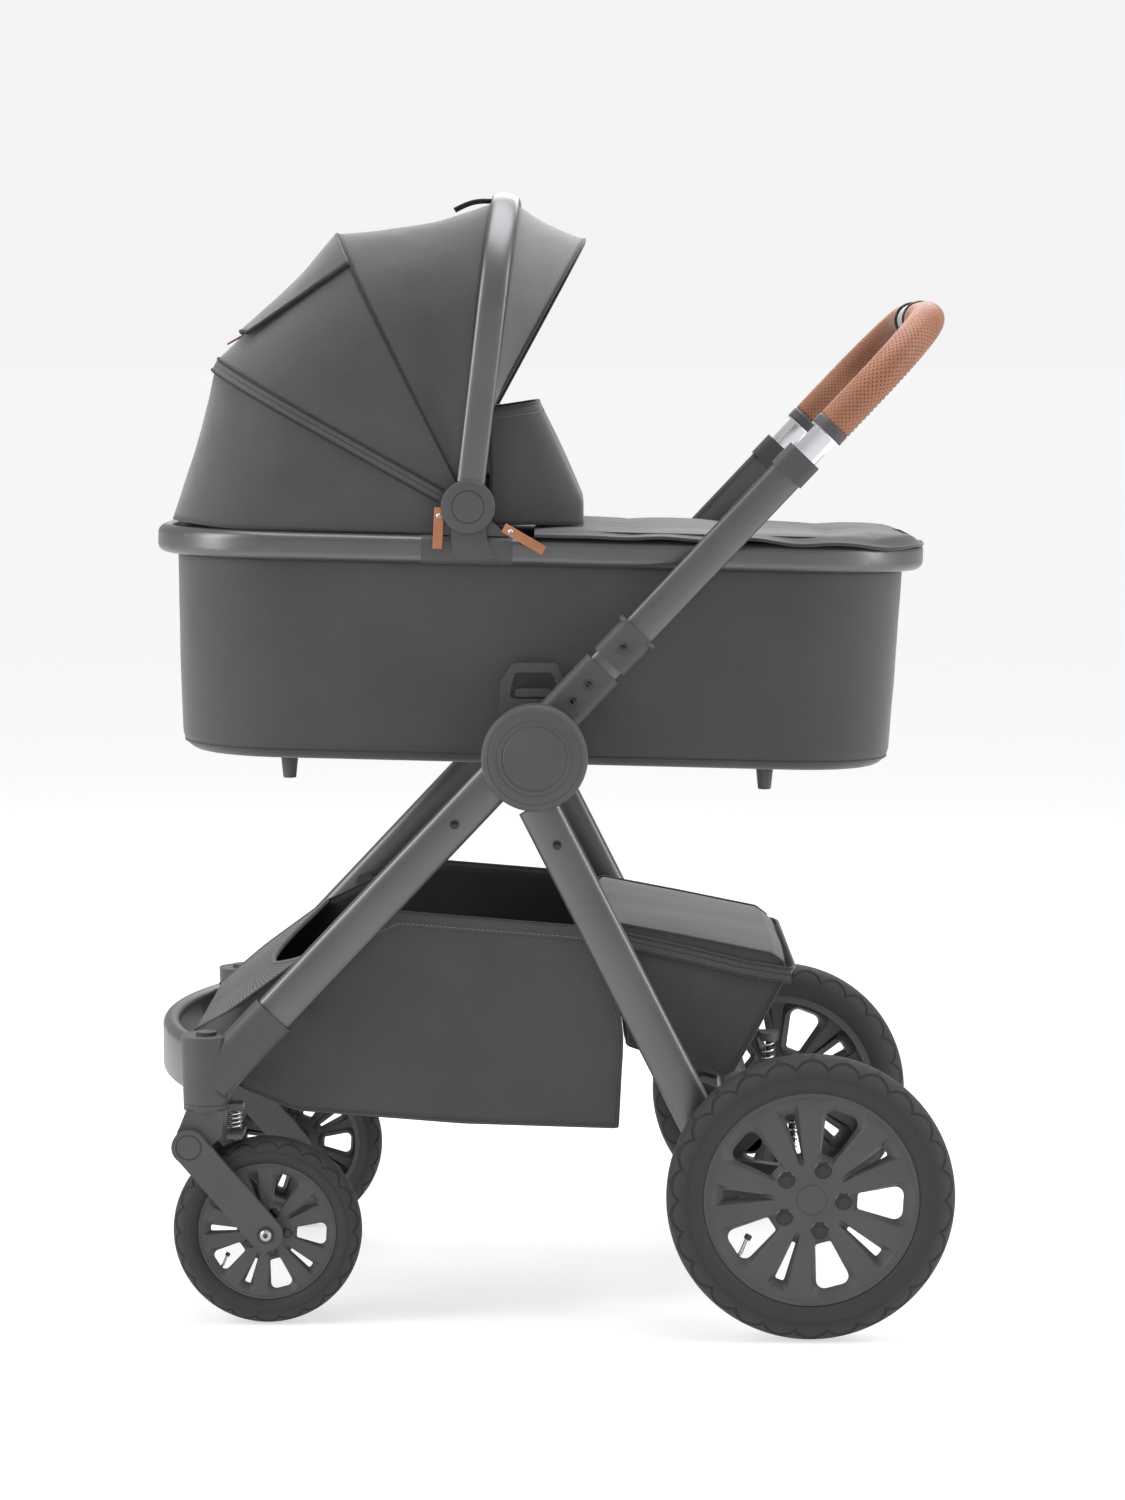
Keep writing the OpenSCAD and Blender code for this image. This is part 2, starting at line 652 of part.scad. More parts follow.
module cot_base() {
  color(plastic_grey) cot() {
    translate([0, 0, tub_top - tub_depth + 12]) linear_extrude(5)
      plan(tub_length - 2 * tub_wall - 2, tub_half_w - tub_wall - 1, tub_corner - tub_wall - 1);
    for (x = [-246, 230], y = [-110, 110]) translate([x, y, tub_top - tub_depth - foot_h])
      cylinder(h = foot_h, r1 = 6.5, r2 = 9);
  }
}
mattress_gap = 3;
module mattress() {
  color(fabric_grey) cot() translate([0, 0, tub_top - tub_depth + 17]) linear_extrude(mattress_t)
    plan(tub_length - 2 * tub_wall - 2 * mattress_gap, tub_half_w - tub_wall - mattress_gap, tub_corner - tub_wall);
}
apron_x0 = -20;
apron_t = 9;
module apron() {
  color(dark_fabric) cot() difference() {
    translate([0, 0, rail_h / 2 + soft_gap]) linear_extrude(apron_t)
      plan(rail_length - 6, rail_width / 2 - 2, rail_corner);
    translate([-rail_length, -rail_width, 0]) cube([rail_length + apron_x0, 2 * rail_width, 100]);
  }
}
guard_half_w = 150;
guard_t = 4;
// Side view of the wind guard, measured from the hub
guard_outline = [[-33, 218.2], [-33, 334], [0, 341], [45, 242], [47, 217.5]];
module wind_guard() {
  guard_inner = inset(guard_outline, guard_t);
  color(fabric_grey) difference() {
    slab(-guard_half_w, guard_half_w) translate(hub) polygon(guard_outline);
    slab(-guard_half_w + guard_t, guard_half_w - guard_t) translate(hub)
      polygon([[-60, 200], [-60, 360], [guard_inner[2].x - 9, 360], guard_inner[3], [guard_inner[4].x, 200]]);
  }
}
// Plates on the tub that hook into the cups of the hubs
module cot_adapters() {
  plate = rounded([[-38, -8], [34, -8], [30, 62], [22, 85], [-22, 85], [-34, 66]], 6);
  both_sides() color(rubber_black) {
    slab(tub_half_w + soft_gap, adapter_y0 - side_gap) translate(hub) difference() {
      polygon(plate);
      polygon(rounded([[-26, 50], [23, 50], [18, 76], [-20, 76]], 5));
    }
    slab(adapter_y0 - side_gap, adapter_y0 + 7.8) translate(hub) polygon([[-17, 28.4], [17, 28.4], [17, 38], [-17, 38]]);
    slab(adapter_y0 + 2.6, adapter_y0 + 7.8) translate(hub) polygon([[-17, -16], [17, -16], [17, 28.4], [-17, 28.4]]);
  }
}
// Bar that is pulled up to free the carrycot
module latch(s) {
  on_side(s) color(rubber_black) slab(tub_half_w + soft_gap, adapter_y0 - side_gap - 1) translate(hub)
    polygon(rounded([[-21, 52], [17, 52], [15, 60], [-19, 60]], 3));
}

// ---- Hood ----
module hood_frame(angle) { along(hood_pivot, angle) children(); }
eye_r = 14;
hood_pin_r = 5;
ear_y0 = 169.8;
ear_y1 = 175;
module hood_brackets() {
  both_sides() color(plastic_grey) {
    pin(hood_pivot, 20, ear_y0, ear_y1);
    slab(ear_y0, ear_y1) translate(hood_pivot) polygon([[-30, -27.4], [40, -29.1], [16, -8], [-16, -8]]);
    pin(hood_pivot, hood_pin_r, rib_half_w - rear_rib_step - 2.5, ear_y0);
    pin(hood_pivot, hood_pin_r, ear_y1, 181);
  }
}
module hood_bow() {
  color(frame_grey) hood_frame(bow_angle) arch(bow_r, bow_half_w, hood_corner + 8, 24) oval(bow_w, bow_t);
  both_sides() color(plastic_grey) difference() {
    pin(hood_pivot, 26, ear_y1 + side_gap, 185);
    pin(hood_pivot, hood_pin_r + running, ear_y1, 182);
    slab(184, 186) translate(hood_pivot) difference() {
      circle(16.5);
      circle(15.5);
    }
  }
}
module rib(angle, step) {
  w = rib_half_w - step;
  corner = hood_corner - hood_t - rib_d / 2 - soft_gap - step;
  color(frame_grey) {
    hood_frame(angle) arch(rib_r - step, w, corner, eye_r - 1) circle(rib_d / 2);
    both_sides() difference() {
      pin(hood_pivot, eye_r, w - 1.6, w + 1.6);
      pin(hood_pivot, hood_pin_r + running, w - 3, w + 3);
    }
  }
}
module hood_rib_mid() { rib(mid_rib_angle, 0); }
module hood_rib_rear() { rib(rear_rib_angle, rear_rib_step); }

// Half section of the hood: radius along x, half width along y
module hood_section(grow) {
  r = hood_r - grow;
  w = hood_half_w - grow;
  c = hood_corner - grow;
  square([r - c, w]);
  square([r, w - c]);
  intersection() {
    translate([r - c, w - c]) circle(c);
    square([r, w]);
  }
}
module hood_shell(a0, a1) {
  color(fabric_grey) difference() {
    both_sides() hood_frame(a0) mirror([0, 0, 1])
      rotate_extrude(angle = a1 - a0, $fn = 128) difference() {
        hood_section(0);
        translate([-1, -1]) square([eye_r + 4, 400]);
        translate([-0.01, -0.01]) hood_section(hood_t);
      }
    // The fabric ends on the rail
    cot() translate([-600, -300, -300]) cube([1200, 600, 300 + rail_h / 2 + soft_gap]);
  }
}
module hood_panel_front() {
  difference() {
    hood_shell(bow_angle, mid_rib_angle - panel_gap / 2);
    // The bow covers the front edge
    hood_frame(bow_angle) translate([0, -1, -300]) cube([400, bow_w / 2 - 0.2, 600]);
  }
}
module hood_panel_mid() { hood_shell(mid_rib_angle + panel_gap / 2, rear_rib_angle - panel_gap / 2); }
module hood_panel_rear() { hood_shell(rear_rib_angle + panel_gap / 2, hood_back_angle); }
module visor_wire() {
  color(rubber_black) {
    along(visor_pivot, visor_angle) arch(visor_reach, visor_half_w, visor_corner, 0) circle(2);
    both_sides() pin(visor_pivot, 2, visor_half_w, bow_half_w - bow_t / 2 - soft_gap);
  }
}
// A flat plate in the outline of an arch, edge is the side nearest the pivot
module arch_plate(reach, half_w, corner, s0, edge) {
  translate([0, edge, 0]) rotate([90, 0, 0]) linear_extrude(0.1) intersection() {
    translate([s0, -half_w]) square([reach - s0, 2 * half_w]);
    union() {
      translate([-50, -half_w]) square([reach - corner + 50, 2 * half_w]);
      translate([0, corner - half_w]) square([reach, 2 * (half_w - corner)]);
      for (k = [-1, 1]) translate([reach - corner, k * (half_w - corner)]) circle(corner);
    }
  }
}
module visor_block(grow, past, drop) {
  hull() {
    hood_frame(bow_angle)
      arch_plate(hood_r + grow, hood_half_w - 6 + grow, hood_corner + grow, visor_foot - drop, past - bow_w / 2 + 1);
    along(visor_pivot, visor_angle)
      arch_plate(visor_reach + 4.3 + grow, visor_half_w + 4.3 + grow, visor_corner + grow, -drop, -2 - past);
  }
}
module visor() {
  color(dark_fabric) difference() {
    visor_block(0, 0, 0);
    visor_block(-visor_t, 1, 20);
  }
}

front_leg(-1);  // front_leg_l
front_leg(1);  // front_leg_r
caster_housing(-1);  // caster_housing_l
caster_housing(1);  // caster_housing_r
front_bumper();
hub_core(-1);  // hub_core_l
hub_core(1);  // hub_core_r
hub_covers();
basket();
rear_bag();
rear_leg(-1);  // rear_leg_l
rear_leg(1);  // rear_leg_r
rear_feet();
rear_crossbar();
brake_pedal();
rear_arm(-1);  // rear_arm_l
rear_arm(1);  // rear_arm_r
shock(-1);  // shock_l
shock(1);  // shock_r
rear_tyre(-1);  // rear_tyre_l
rear_tyre(1);  // rear_tyre_r
rear_rim(-1);  // rear_rim_l
rear_rim(1);  // rear_rim_r
front_tyre(-1);  // front_tyre_l
front_tyre(1);  // front_tyre_r
front_rim(-1);  // front_rim_l
front_rim(1);  // front_rim_r
yoke(-1);  // yoke_l
yoke(1);  // yoke_r
fork(-1);  // fork_l
fork(1);  // fork_r
spring(-1);  // spring_l
spring(1);  // spring_r
caster_lock(-1);  // caster_lock_l
caster_lock(1);  // caster_lock_r
arm_sockets();
arm_tubes();
arm_collars();
slider_tubes();
grip_leather();
grip_centre();
fold_button();
cot_tub();
cot_base();
cot_rail();
mattress();
apron();
wind_guard();
cot_adapters();
latch(-1);  // latch_l
latch(1);  // latch_r
hood_brackets();
hood_bow();
hood_rib_mid();
hood_rib_rear();
hood_panel_front();
hood_panel_mid();
hood_panel_rear();
visor();
visor_wire();
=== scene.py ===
import json
import math

import bmesh
import bpy
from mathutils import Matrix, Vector, noise


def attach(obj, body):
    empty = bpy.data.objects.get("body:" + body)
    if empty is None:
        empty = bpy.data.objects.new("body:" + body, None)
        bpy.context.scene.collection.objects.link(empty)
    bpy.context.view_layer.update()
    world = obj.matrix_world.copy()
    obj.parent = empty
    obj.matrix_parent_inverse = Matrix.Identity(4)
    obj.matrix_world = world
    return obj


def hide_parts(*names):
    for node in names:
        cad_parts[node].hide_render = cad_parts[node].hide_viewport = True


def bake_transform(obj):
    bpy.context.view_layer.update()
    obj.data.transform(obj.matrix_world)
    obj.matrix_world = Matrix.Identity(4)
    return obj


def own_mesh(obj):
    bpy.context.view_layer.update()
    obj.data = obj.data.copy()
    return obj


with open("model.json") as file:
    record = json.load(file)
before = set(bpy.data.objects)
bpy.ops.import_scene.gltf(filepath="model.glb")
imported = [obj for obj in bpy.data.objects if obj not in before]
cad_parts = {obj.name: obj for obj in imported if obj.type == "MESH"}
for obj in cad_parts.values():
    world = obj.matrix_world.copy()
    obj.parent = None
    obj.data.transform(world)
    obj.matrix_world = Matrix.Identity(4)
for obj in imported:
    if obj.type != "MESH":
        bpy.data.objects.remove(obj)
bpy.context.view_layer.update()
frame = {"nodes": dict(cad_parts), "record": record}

nodes = frame["nodes"]
record = frame["record"]
mm = 0.001
sides = {"l": -1, "r": 1}
print("frame loaded:", len(nodes), "nodes")


# finishes, each built from a few nodes
class Wire:  # a socket that takes part in sums
    def __init__(self, finish, socket):
        self.finish, self.socket = finish, socket

    def sum(self, operation, first, second=0.0):
        return self.finish.node("ShaderNodeMath", {"operation": operation}, {0: first, 1: second})

    def __add__(self, other):
        return self.sum("ADD", self, other)

    def __radd__(self, other):
        return self.sum("ADD", other, self)

    def __sub__(self, other):
        return self.sum("SUBTRACT", self, other)

    def __rsub__(self, other):
        return self.sum("SUBTRACT", other, self)

    def __mul__(self, other):
        return self.sum("MULTIPLY", self, other)

    def __rmul__(self, other):
        return self.sum("MULTIPLY", other, self)

    def __truediv__(self, other):
        return self.sum("DIVIDE", self, other)

    def __pow__(self, other):
        return self.sum("POWER", self, other)

    def __gt__(self, other):
        return self.sum("GREATER_THAN", self, other)

    def __lt__(self, other):
        return self.sum("LESS_THAN", self, other)

    def sine(self):
        return self.sum("SINE", self)

    def size(self):
        return self.sum("ABSOLUTE", self)

    def fraction(self):
        return self.sum("FRACT", self)

    def most(self, other):
        return self.sum("MAXIMUM", self, other)

    def step(self, low, high):  # 0 below low, 1 above high, smooth between
        return self.finish.node("ShaderNodeMapRange", {"interpolation_type": "SMOOTHSTEP"},
                                {"Value": self, "From Min": low, "From Max": high})


class Finish:
    def __init__(self, name, **fixed):
        self.material = bpy.data.materials.new(name)
        self.material.use_nodes = True
        self.tree = self.material.node_tree
        self.shader = self.tree.nodes["Principled BSDF"]
        for key, value in fixed.items():
            self.shader.inputs[key.replace("_", " ")].default_value = value

    def plug(self, socket, value):
        if isinstance(value, Wire):
            self.tree.links.new(value.socket, socket)
        else:
            socket.default_value = value

    def node(self, kind, settings=None, inputs=None, output=0):
        made = self.tree.nodes.new(kind)
        for key, value in (settings or {}).items():
            setattr(made, key, value)
        for key, value in (inputs or {}).items():
            self.plug(made.inputs[key], value)
        return Wire(self, made.outputs[output])

    def uv(self):
        return self.node("ShaderNodeTexCoord", output="UV")

    def place(self):
        return self.node("ShaderNodeTexCoord", output="Object")

    def parts(self, vector):  # x, y and z of a vector
        split = self.node("ShaderNodeSeparateXYZ", inputs={0: vector})
        return [Wire(self, split.socket.node.outputs[i]) for i in range(3)]

    def grain(self, vector, scale, detail=3.0):
        return self.node("ShaderNodeTexNoise", None,
                         {"Vector": vector, "Scale": scale, "Detail": detail})

    def mix(self, factor, first, second):
        return self.node("ShaderNodeMix", {"data_type": "RGBA"}, {0: factor, 6: first, 7: second}, 2)

    def colour(self, wire):
        self.plug(self.shader.inputs["Base Color"], wire)

    def rough(self, wire):
        self.plug(self.shader.inputs["Roughness"], wire)

    def relief(self, height, distance, strength=1.0):
        made = self.node("ShaderNodeBump", None,
                         {"Height": height, "Distance": distance, "Strength": strength}, "Normal")
        self.plug(self.shader.inputs["Normal"], made)


def shade(level, warm=0.0):  # a grey with a slight warm or cool cast
    return (level * (1 + max(warm, 0)), level * 0.985, level * (1 - warm * 1.4), 1)


def metalFinish(name, level, metallic, roughness, spread=0.08):
    made = Finish(name, Metallic=metallic)
    place = made.place()
    cloud = made.grain(place, 14.0, 4.0)
    speck = made.grain(place, 2600.0, 2.0)
    made.colour(made.mix(cloud, shade(level * 0.88, -0.02), shade(level * 1.12, -0.02)))
    made.rough(roughness + spread * cloud)
    made.relief(speck, 0.00006, 0.9 * roughness)
    return made


def plasticFinish(name, level, roughness, warm=-0.03):
    made = Finish(name)
    place = made.place()
    cloud = made.grain(place, 30.0, 4.0)
    speck = made.grain(place, 1900.0, 3.0)
    made.colour(made.mix(cloud, shade(level * 0.86, warm), shade(level * 1.14, warm)))
    made.rough(roughness + 0.12 * speck)
    made.relief(speck, 0.00012, 0.6)
    return made


def clothFinish(name, level, byMap=True, thread=1500.0, sheen=0.35, warm=-0.01):
    made = Finish(name, Sheen_Weight=sheen, Sheen_Roughness=0.45)
    place = made.uv() if byMap else made.place()
    x, y, z = made.parts(place)
    weft = y if byMap else y + z
    weave = (x * thread).sine() * (weft * thread).sine()
    cloud = made.grain(place, 9.0, 5.0)
    fleck = made.grain(place, 620.0, 3.0)
    tone = cloud * 0.45 + fleck * 0.4 + weave * 0.12
    made.colour(made.mix(tone, shade(level * 0.50, warm), shade(level * 1.62, warm)))
    made.rough(0.74 + 0.2 * fleck)
    made.relief(fleck * 0.7 + weave * 0.3, 0.0003, 0.55)
    return made


def tapeFinish(name, level, ribs):  # ribbed zip tape, ribs run along the map's x
    made = Finish(name, Sheen_Weight=0.2)
    x, y, z = made.parts(made.uv())
    rib = (y * ribs).sine()
    tooth = (x * 2400.0).sine() * 0.4
    middle = 1 - (y - 0.5).size().step(0.03, 0.09)
    tone = rib * 0.3 + 0.5 - middle * 0.9 + tooth * 0.2
    made.colour(made.mix(tone, shade(level * 0.45), shade(level * 1.3)))
    made.rough(0.8 + 0.1 * rib)
    made.relief(rib + tooth, 0.0005, 0.6)
    return made


def netFinish(name):  # open mesh of the basket's front
    made = Finish(name, Sheen_Weight=0.15)
    x, y, z = made.parts(made.uv())
    pitch = 620.0
    cell = ((x * pitch).sine() * (y * pitch * 0.62).sine()).size()
    hole = cell.step(0.25, 0.5)
    # the holes are painted near black: painted shade of the dim inside seen through the open mesh
    made.colour(made.mix(hole, shade(0.115), shade(0.012)))
    made.rough(0.7 + 0.2 * hole)
    made.relief(1 - hole, 0.0007, 0.9)
    return made


# edge of the tread blocks: each rises from low by rise, as shares of the tyre's height
tread = {"low": 0.62, "rise": 0.27, "power": 0.55}


def rubberFinish(name):
    made = Finish(name)
    x, y, z = made.parts(made.uv())
    speck = made.grain(made.place(), 700.0, 4.0)
    wing = ((x * math.pi).sine().size() + 0.0001) ** tread["power"] * tread["rise"] + tread["low"]
    groove = 1 - (y - wing).size().step(0.014, 0.040)
    dash = 1 - ((x.fraction() - 0.5).size() - 0.03).size().step(0.010, 0.022)
    dash = dash * (y > 0.93) * (y < 0.985)
    line = 1 - ((y - 0.46).size() - 0.035).size().step(0.004, 0.012)
    # grooves, tread dashes and the wall's ring line: sunk by the bump and painted near black, painted shade
    # in these recesses
    sunkMarksAndShade = groove.most(dash).most(line * 0.55)
    made.colour(made.mix(sunkMarksAndShade, shade(0.026, 0.03), shade(0.003)))
    made.rough(0.62 + 0.2 * speck - 0.1 * sunkMarksAndShade)
    made.relief(speck * 0.15 - sunkMarksAndShade, 0.0012, 0.9)
    return made


def leatherFinish(name):
    made = Finish(name)
    uv = made.uv()
    x, y, z = made.parts(uv)
    pitch = 5.2 * mm
    holes = []
    for shift in (0.0, 0.5):  # two rows of pricked holes, half a pitch apart
        first, second = (x / pitch + shift).fraction() - 0.5, (y / pitch + shift).fraction() - 0.5
        away = (first ** 2.0 + second ** 2.0) ** 0.5
        holes.append(1 - away.step(0.10, 0.17))
    hole = holes[0].most(holes[1])
    cloud = made.grain(uv, 28.0, 5.0)
    pore = made.grain(uv, 900.0, 4.0)
    skin = made.mix(cloud, (0.22, 0.084, 0.042, 1), (0.38, 0.155, 0.082, 1))
    # the pricked holes are painted near black: painted shade inside the holes
    made.colour(made.mix(hole, skin, (0.045, 0.014, 0.008, 1)))
    made.rough(0.42 + 0.25 * pore)
    made.relief(pore * 0.12 - hole, 0.0006, 0.8)
    return made


def strapFinish(name):  # smooth leather of the zip pulls
    made = Finish(name)
    place = made.place()
    pore = made.grain(place, 900.0, 3.0)
    made.colour(made.mix(made.grain(place, 60.0, 4.0), (0.25, 0.085, 0.035, 1), (0.46, 0.19, 0.09, 1)))
    made.rough(0.45 + 0.2 * pore)
    made.relief(pore, 0.0002, 0.5)
    return made


finishes = {
    "tube": metalFinish("satinTube", 0.135, 0.80, 0.33),
    "plastic": plasticFinish("mattePlastic", 0.060, 0.46),
    "lightPlastic": plasticFinish("palePlastic", 0.42, 0.45, 0.0),
    "darkPlastic": plasticFinish("darkPlastic", 0.024, 0.42, 0.0),
    "gloss": plasticFinish("glossBlack", 0.006, 0.05, 0.0),
    "rubber": rubberFinish("tyreRubber"),
    "chrome": metalFinish("chromedTube", 0.78, 1.0, 0.09, 0.05),
    "steel": metalFinish("dullSteel", 0.42, 1.0, 0.22),
    "leather": leatherFinish("tanLeather"),
    "strap": strapFinish("strapLeather"),
    "cloth": clothFinish("charcoalCloth", 0.053, warm=-0.035),
    "paleCloth": clothFinish("apronCloth", 0.060, warm=-0.035),
    "sheer": clothFinish("visorCloth", 0.150),
    "trim": clothFinish("clothTrim", 0.034, False),
    "thread": clothFinish("sewingThread", 0.20, False),
    "lining": clothFinish("darkLining", 0.016, True, 1500.0, 0.05),
    "tape": tapeFinish("zipTape", 0.085, 44.0),
    "net": netFinish("openMesh"),
    "mattress": clothFinish("mattressCloth", 0.55, False, 900.0, 0.1),
}
nodeFinish = {"frame_tube": "tube", "grey_plastic": "plastic", "black_plastic": "darkPlastic",
              "tyre": "rubber", "chrome": "chrome", "leather": "leather", "grey_fabric": "cloth",
              "dark_fabric": "paleCloth", "mattress_fabric": "mattress"}
odd = {"grip_centre": "lightPlastic", "cot_adapters": "plastic", "latch_l": "plastic", "latch_r": "plastic"}
for part in record["subparts"]:
    node = nodes[part["node"]]
    finish = finishes[odd.get(part["node"], nodeFinish[part["material_slot"]])]
    node.data.materials.clear()
    node.data.materials.append(finish.material)
    for polygon in node.data.polygons:
        polygon.use_smooth = True
        polygon.material_index = 0
    join = node.modifiers.new("join", "WELD")
    join.merge_threshold = 0.00002
    split = node.modifiers.new("edges", "EDGE_SPLIT")
    split.split_angle = math.radians(28)
print("finishes made:", len(finishes))


# tools that make the pieces
def addPiece(name, bm, finish, body, smooth=35, replaced=()):
    mesh = bpy.data.meshes.new(name)
    bm.to_mesh(mesh)
    bm.free()
    return keepPiece(name, mesh, finish, body, smooth, replaced)


def keepPiece(name, mesh, finish, body, smooth=35, replaced=()):
    mesh.materials.clear()
    mesh.materials.append(finishes[finish].material)
    for polygon in mesh.polygons:
        polygon.use_smooth = True
    mesh.set_sharp_from_angle(angle=math.radians(smooth))
    piece = bpy.data.objects.new(name, mesh)
    bpy.context.scene.collection.objects.link(piece)
    if body:
        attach(piece, body)
    if replaced:
        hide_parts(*replaced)
    return piece


def thicken(piece, amount, offset=-1.0):
    wall = piece.modifiers.new("wall", "SOLIDIFY")
    wall.thickness = amount
    wall.offset = offset
    return piece


def sheetGrid(name, across, along, spot, finish, body, size=(1.0, 1.0), joined=False, smooth=60):
    # a grid whose points are put in place by spot(u, v), with u and v from 0 to 1
    bm = bmesh.new()
    bmesh.ops.create_grid(bm, x_segments=across, y_segments=along, size=0.5)
    layer = bm.loops.layers.uv.new("map")
    for face in bm.faces:
        for loop in face.loops:
            loop[layer].uv = ((loop.vert.co.x + 0.5) * size[0], (loop.vert.co.y + 0.5) * size[1])
    for vert in bm.verts:
        vert.co = spot(vert.co.x + 0.5, vert.co.y + 0.5)
    if joined:
        bmesh.ops.remove_doubles(bm, verts=bm.verts, dist=0.00002)
        bmesh.ops.holes_fill(bm, edges=[e for e in bm.edges if e.is_boundary])
        bmesh.ops.recalc_face_normals(bm, faces=bm.faces)
    return addPiece(name, bm, finish, body, smooth)


def areaOf(piece):
    return sum(p.area for p in piece.data.polygons)


def declare(piece, across, along, held, restsOn):
    # the flat size is the longest row by the longest column of the grid
    spots = [v.co for v in piece.data.vertices]
    rows = [[spots[j * (across + 1) + i] for i in range(across + 1)] for j in range(along + 1)]
    width = max(pathLength(row) for row in rows)
    length = max(pathLength(column) for column in zip(*rows))
    area = areaOf(piece)
    min(area, width * length)
    print("sheet", piece.name, round(width, 3), round(length, 3), round(area, 4))


def clothSheet(name, cells, spot, finish, body, size, held, restsOn, wall=0.0, offset=0.0, replaced=()):
    # a sheet of cloth: its grid, its flat size, and its thickness about the grid
    piece = sheetGrid(name, *cells, spot, finish, body, size)
    declare(piece, *cells, held, restsOn)
    if wall:
        thicken(piece, wall, offset)
    if replaced:
        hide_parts(*replaced)
    return piece


def ovalCut(a, power=2.25):  # section of the oval tubes, as shares of its half sizes
    c, n = math.cos(a), math.sin(a)
    return math.copysign(abs(c) ** (2 / power), c), math.copysign(abs(n) ** (2 / power), n)


def ovalTube(name, spotAt, start, end, width, thick, y, finish, body, replaced):
    # spotAt(along, across, y) gives a place on the leg or arm that the tube lies in
    def spot(u, v):
        across, out = ovalCut(2 * math.pi * u)
        return spotAt(start + (end - start) * v, across * width / 2, y + out * thick / 2)
    piece = sheetGrid(name, 48, 24, spot, finish, body, (width, end - start), True)
    if replaced:
        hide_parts(*replaced)
    return piece


def pillow(name, halfLength, halfWidth, corner, low, high, finish, body, replaced, power):
    # a rounded slab with soft edges, both faces in one closed skin
    bm = bmesh.new()
    for sign in (1, -1):
        made = bmesh.ops.create_grid(bm, x_segments=90, y_segments=60, size=0.5)["verts"]
        for vert in made:
            a, b = vert.co.x * 2, vert.co.y * 2
            x = a * halfLength
            over = max(0.0, abs(x) - (halfLength - corner))
            y = b * (halfWidth - corner + math.sqrt(max(corner * corner - over * over, 0)))
            rise = math.sqrt(max(1 - max(abs(a), abs(b)) ** power, 0))
            vert.co = inCot(x, y, (low + high) / 2 + sign * (high - low) / 2 * rise)
    bmesh.ops.remove_doubles(bm, verts=bm.verts, dist=0.00005)
    bmesh.ops.recalc_face_normals(bm, faces=bm.faces)
    return addPiece(name, bm, finish, body, 50, replaced)


def lathe(name, profile, centre, side, finish, body, steps=64, replaced=(), smooth=30):
    # profile is (radius, distance outwards) in mm, turned about the Y axis through the centre
    bm = bmesh.new()
    verts = [bm.verts.new((centre[0] + r * mm, side * (centre[1] + d * mm), centre[2])) for r, d in profile]
    edges = [bm.edges.new(pair) for pair in zip(verts, verts[1:])]
    bmesh.ops.spin(bm, geom=verts + edges, cent=(centre[0], 0, centre[2]), axis=(0, 1, 0), dvec=(0, 0, 0),
                   angle=2 * math.pi, steps=steps, use_merge=True)
    bmesh.ops.remove_doubles(bm, verts=bm.verts, dist=0.00001)
    bmesh.ops.recalc_face_normals(bm, faces=bm.faces)
    return addPiece(name, bm, finish, body, smooth, replaced)


def pipe(name, points, radius, finish, body, closed=False, replaced=()):
    curve = bpy.data.curves.new(name, "CURVE")
    curve.dimensions = "3D"
    curve.bevel_depth = radius
    curve.bevel_resolution = 3
    curve.use_fill_caps = True
    spline = curve.splines.new("POLY")
    spline.points.add(len(points) - 1)
    for made, point in zip(spline.points, points):
        made.co = (*point, 1)
    spline.use_cyclic_u = closed
    holder = bpy.data.objects.new(name + "Curve", curve)
    bpy.context.scene.collection.objects.link(holder)
    bpy.context.view_layer.update()
    mesh = bpy.data.meshes.new_from_object(holder.evaluated_get(bpy.context.evaluated_depsgraph_get()))
    bpy.data.objects.remove(holder)
    return keepPiece(name, mesh, finish, body, 50, replaced)


def dashes(name, points, finish, body, length=2.6 * mm, gap=1.6 * mm, radius=0.42 * mm):
    # a row of stitches along the points
    bm = bmesh.new()
    walked, wanted, start = 0.0, 0.0, None
    for a, b in zip(points, points[1:]):
        span = (b - a).length
        while wanted <= walked + span:
            here = a + (b - a) * ((wanted - walked) / max(span, 1e-9))
            if start is None:
                start, wanted = here, wanted + length
            else:
                stitch(bm, start, here, radius)
                start, wanted = None, wanted + gap
        walked += span
    bmesh.ops.recalc_face_normals(bm, faces=bm.faces)
    return addPiece(name, bm, finish, body)


def stitch(bm, a, b, radius):  # one stitch from a to b
    turn = (b - a).to_track_quat("Z", "Y").to_matrix().to_4x4()
    turn.translation = (a + b) / 2
    bmesh.ops.create_cone(bm, cap_ends=True, segments=5, radius1=radius, radius2=radius * 0.8,
                          depth=(b - a).length, matrix=turn)


def grow(bm, faces, along, bevel):  # faces pushed out to a plate with soft edges
    grown = bmesh.ops.extrude_face_region(bm, geom=faces)["geom"]
    bmesh.ops.translate(bm, vec=along, verts=[g for g in grown if isinstance(g, bmesh.types.BMVert)])
    bmesh.ops.recalc_face_normals(bm, faces=bm.faces)
    bmesh.ops.bevel(bm, geom=bm.edges[:], offset=bevel, segments=3, profile=0.5, affect="EDGES", material=-1)


def pathLength(points):
    return sum((b - a).length for a, b in zip(points, points[1:]))


def resample(points, count):  # the same path in evenly spaced points
    lengths = [0.0]
    for a, b in zip(points, points[1:]):
        lengths.append(lengths[-1] + (b - a).length)
    made, k = [], 0
    for i in range(count):
        want = lengths[-1] * i / (count - 1)
        while k < len(points) - 2 and lengths[k + 1] < want:
            k += 1
        span = max(lengths[k + 1] - lengths[k], 1e-9)
        made.append(points[k].lerp(points[k + 1], (want - lengths[k]) / span))
    return made


def curveAt(points, t):  # a point along evenly spaced points
    spot = min(max(t, 0.0), 1.0) * (len(points) - 1)
    k = min(int(spot), len(points) - 2)
    return points[k].lerp(points[k + 1], spot - k)


def smoothStep(t):
    t = min(max(t, 0.0), 1.0)
    return t * t * (3 - 2 * t)


def ripple(point, scale, seed=0.0):
    return noise.noise(Vector((point.x * scale + seed, point.y * scale, point.z * scale)))


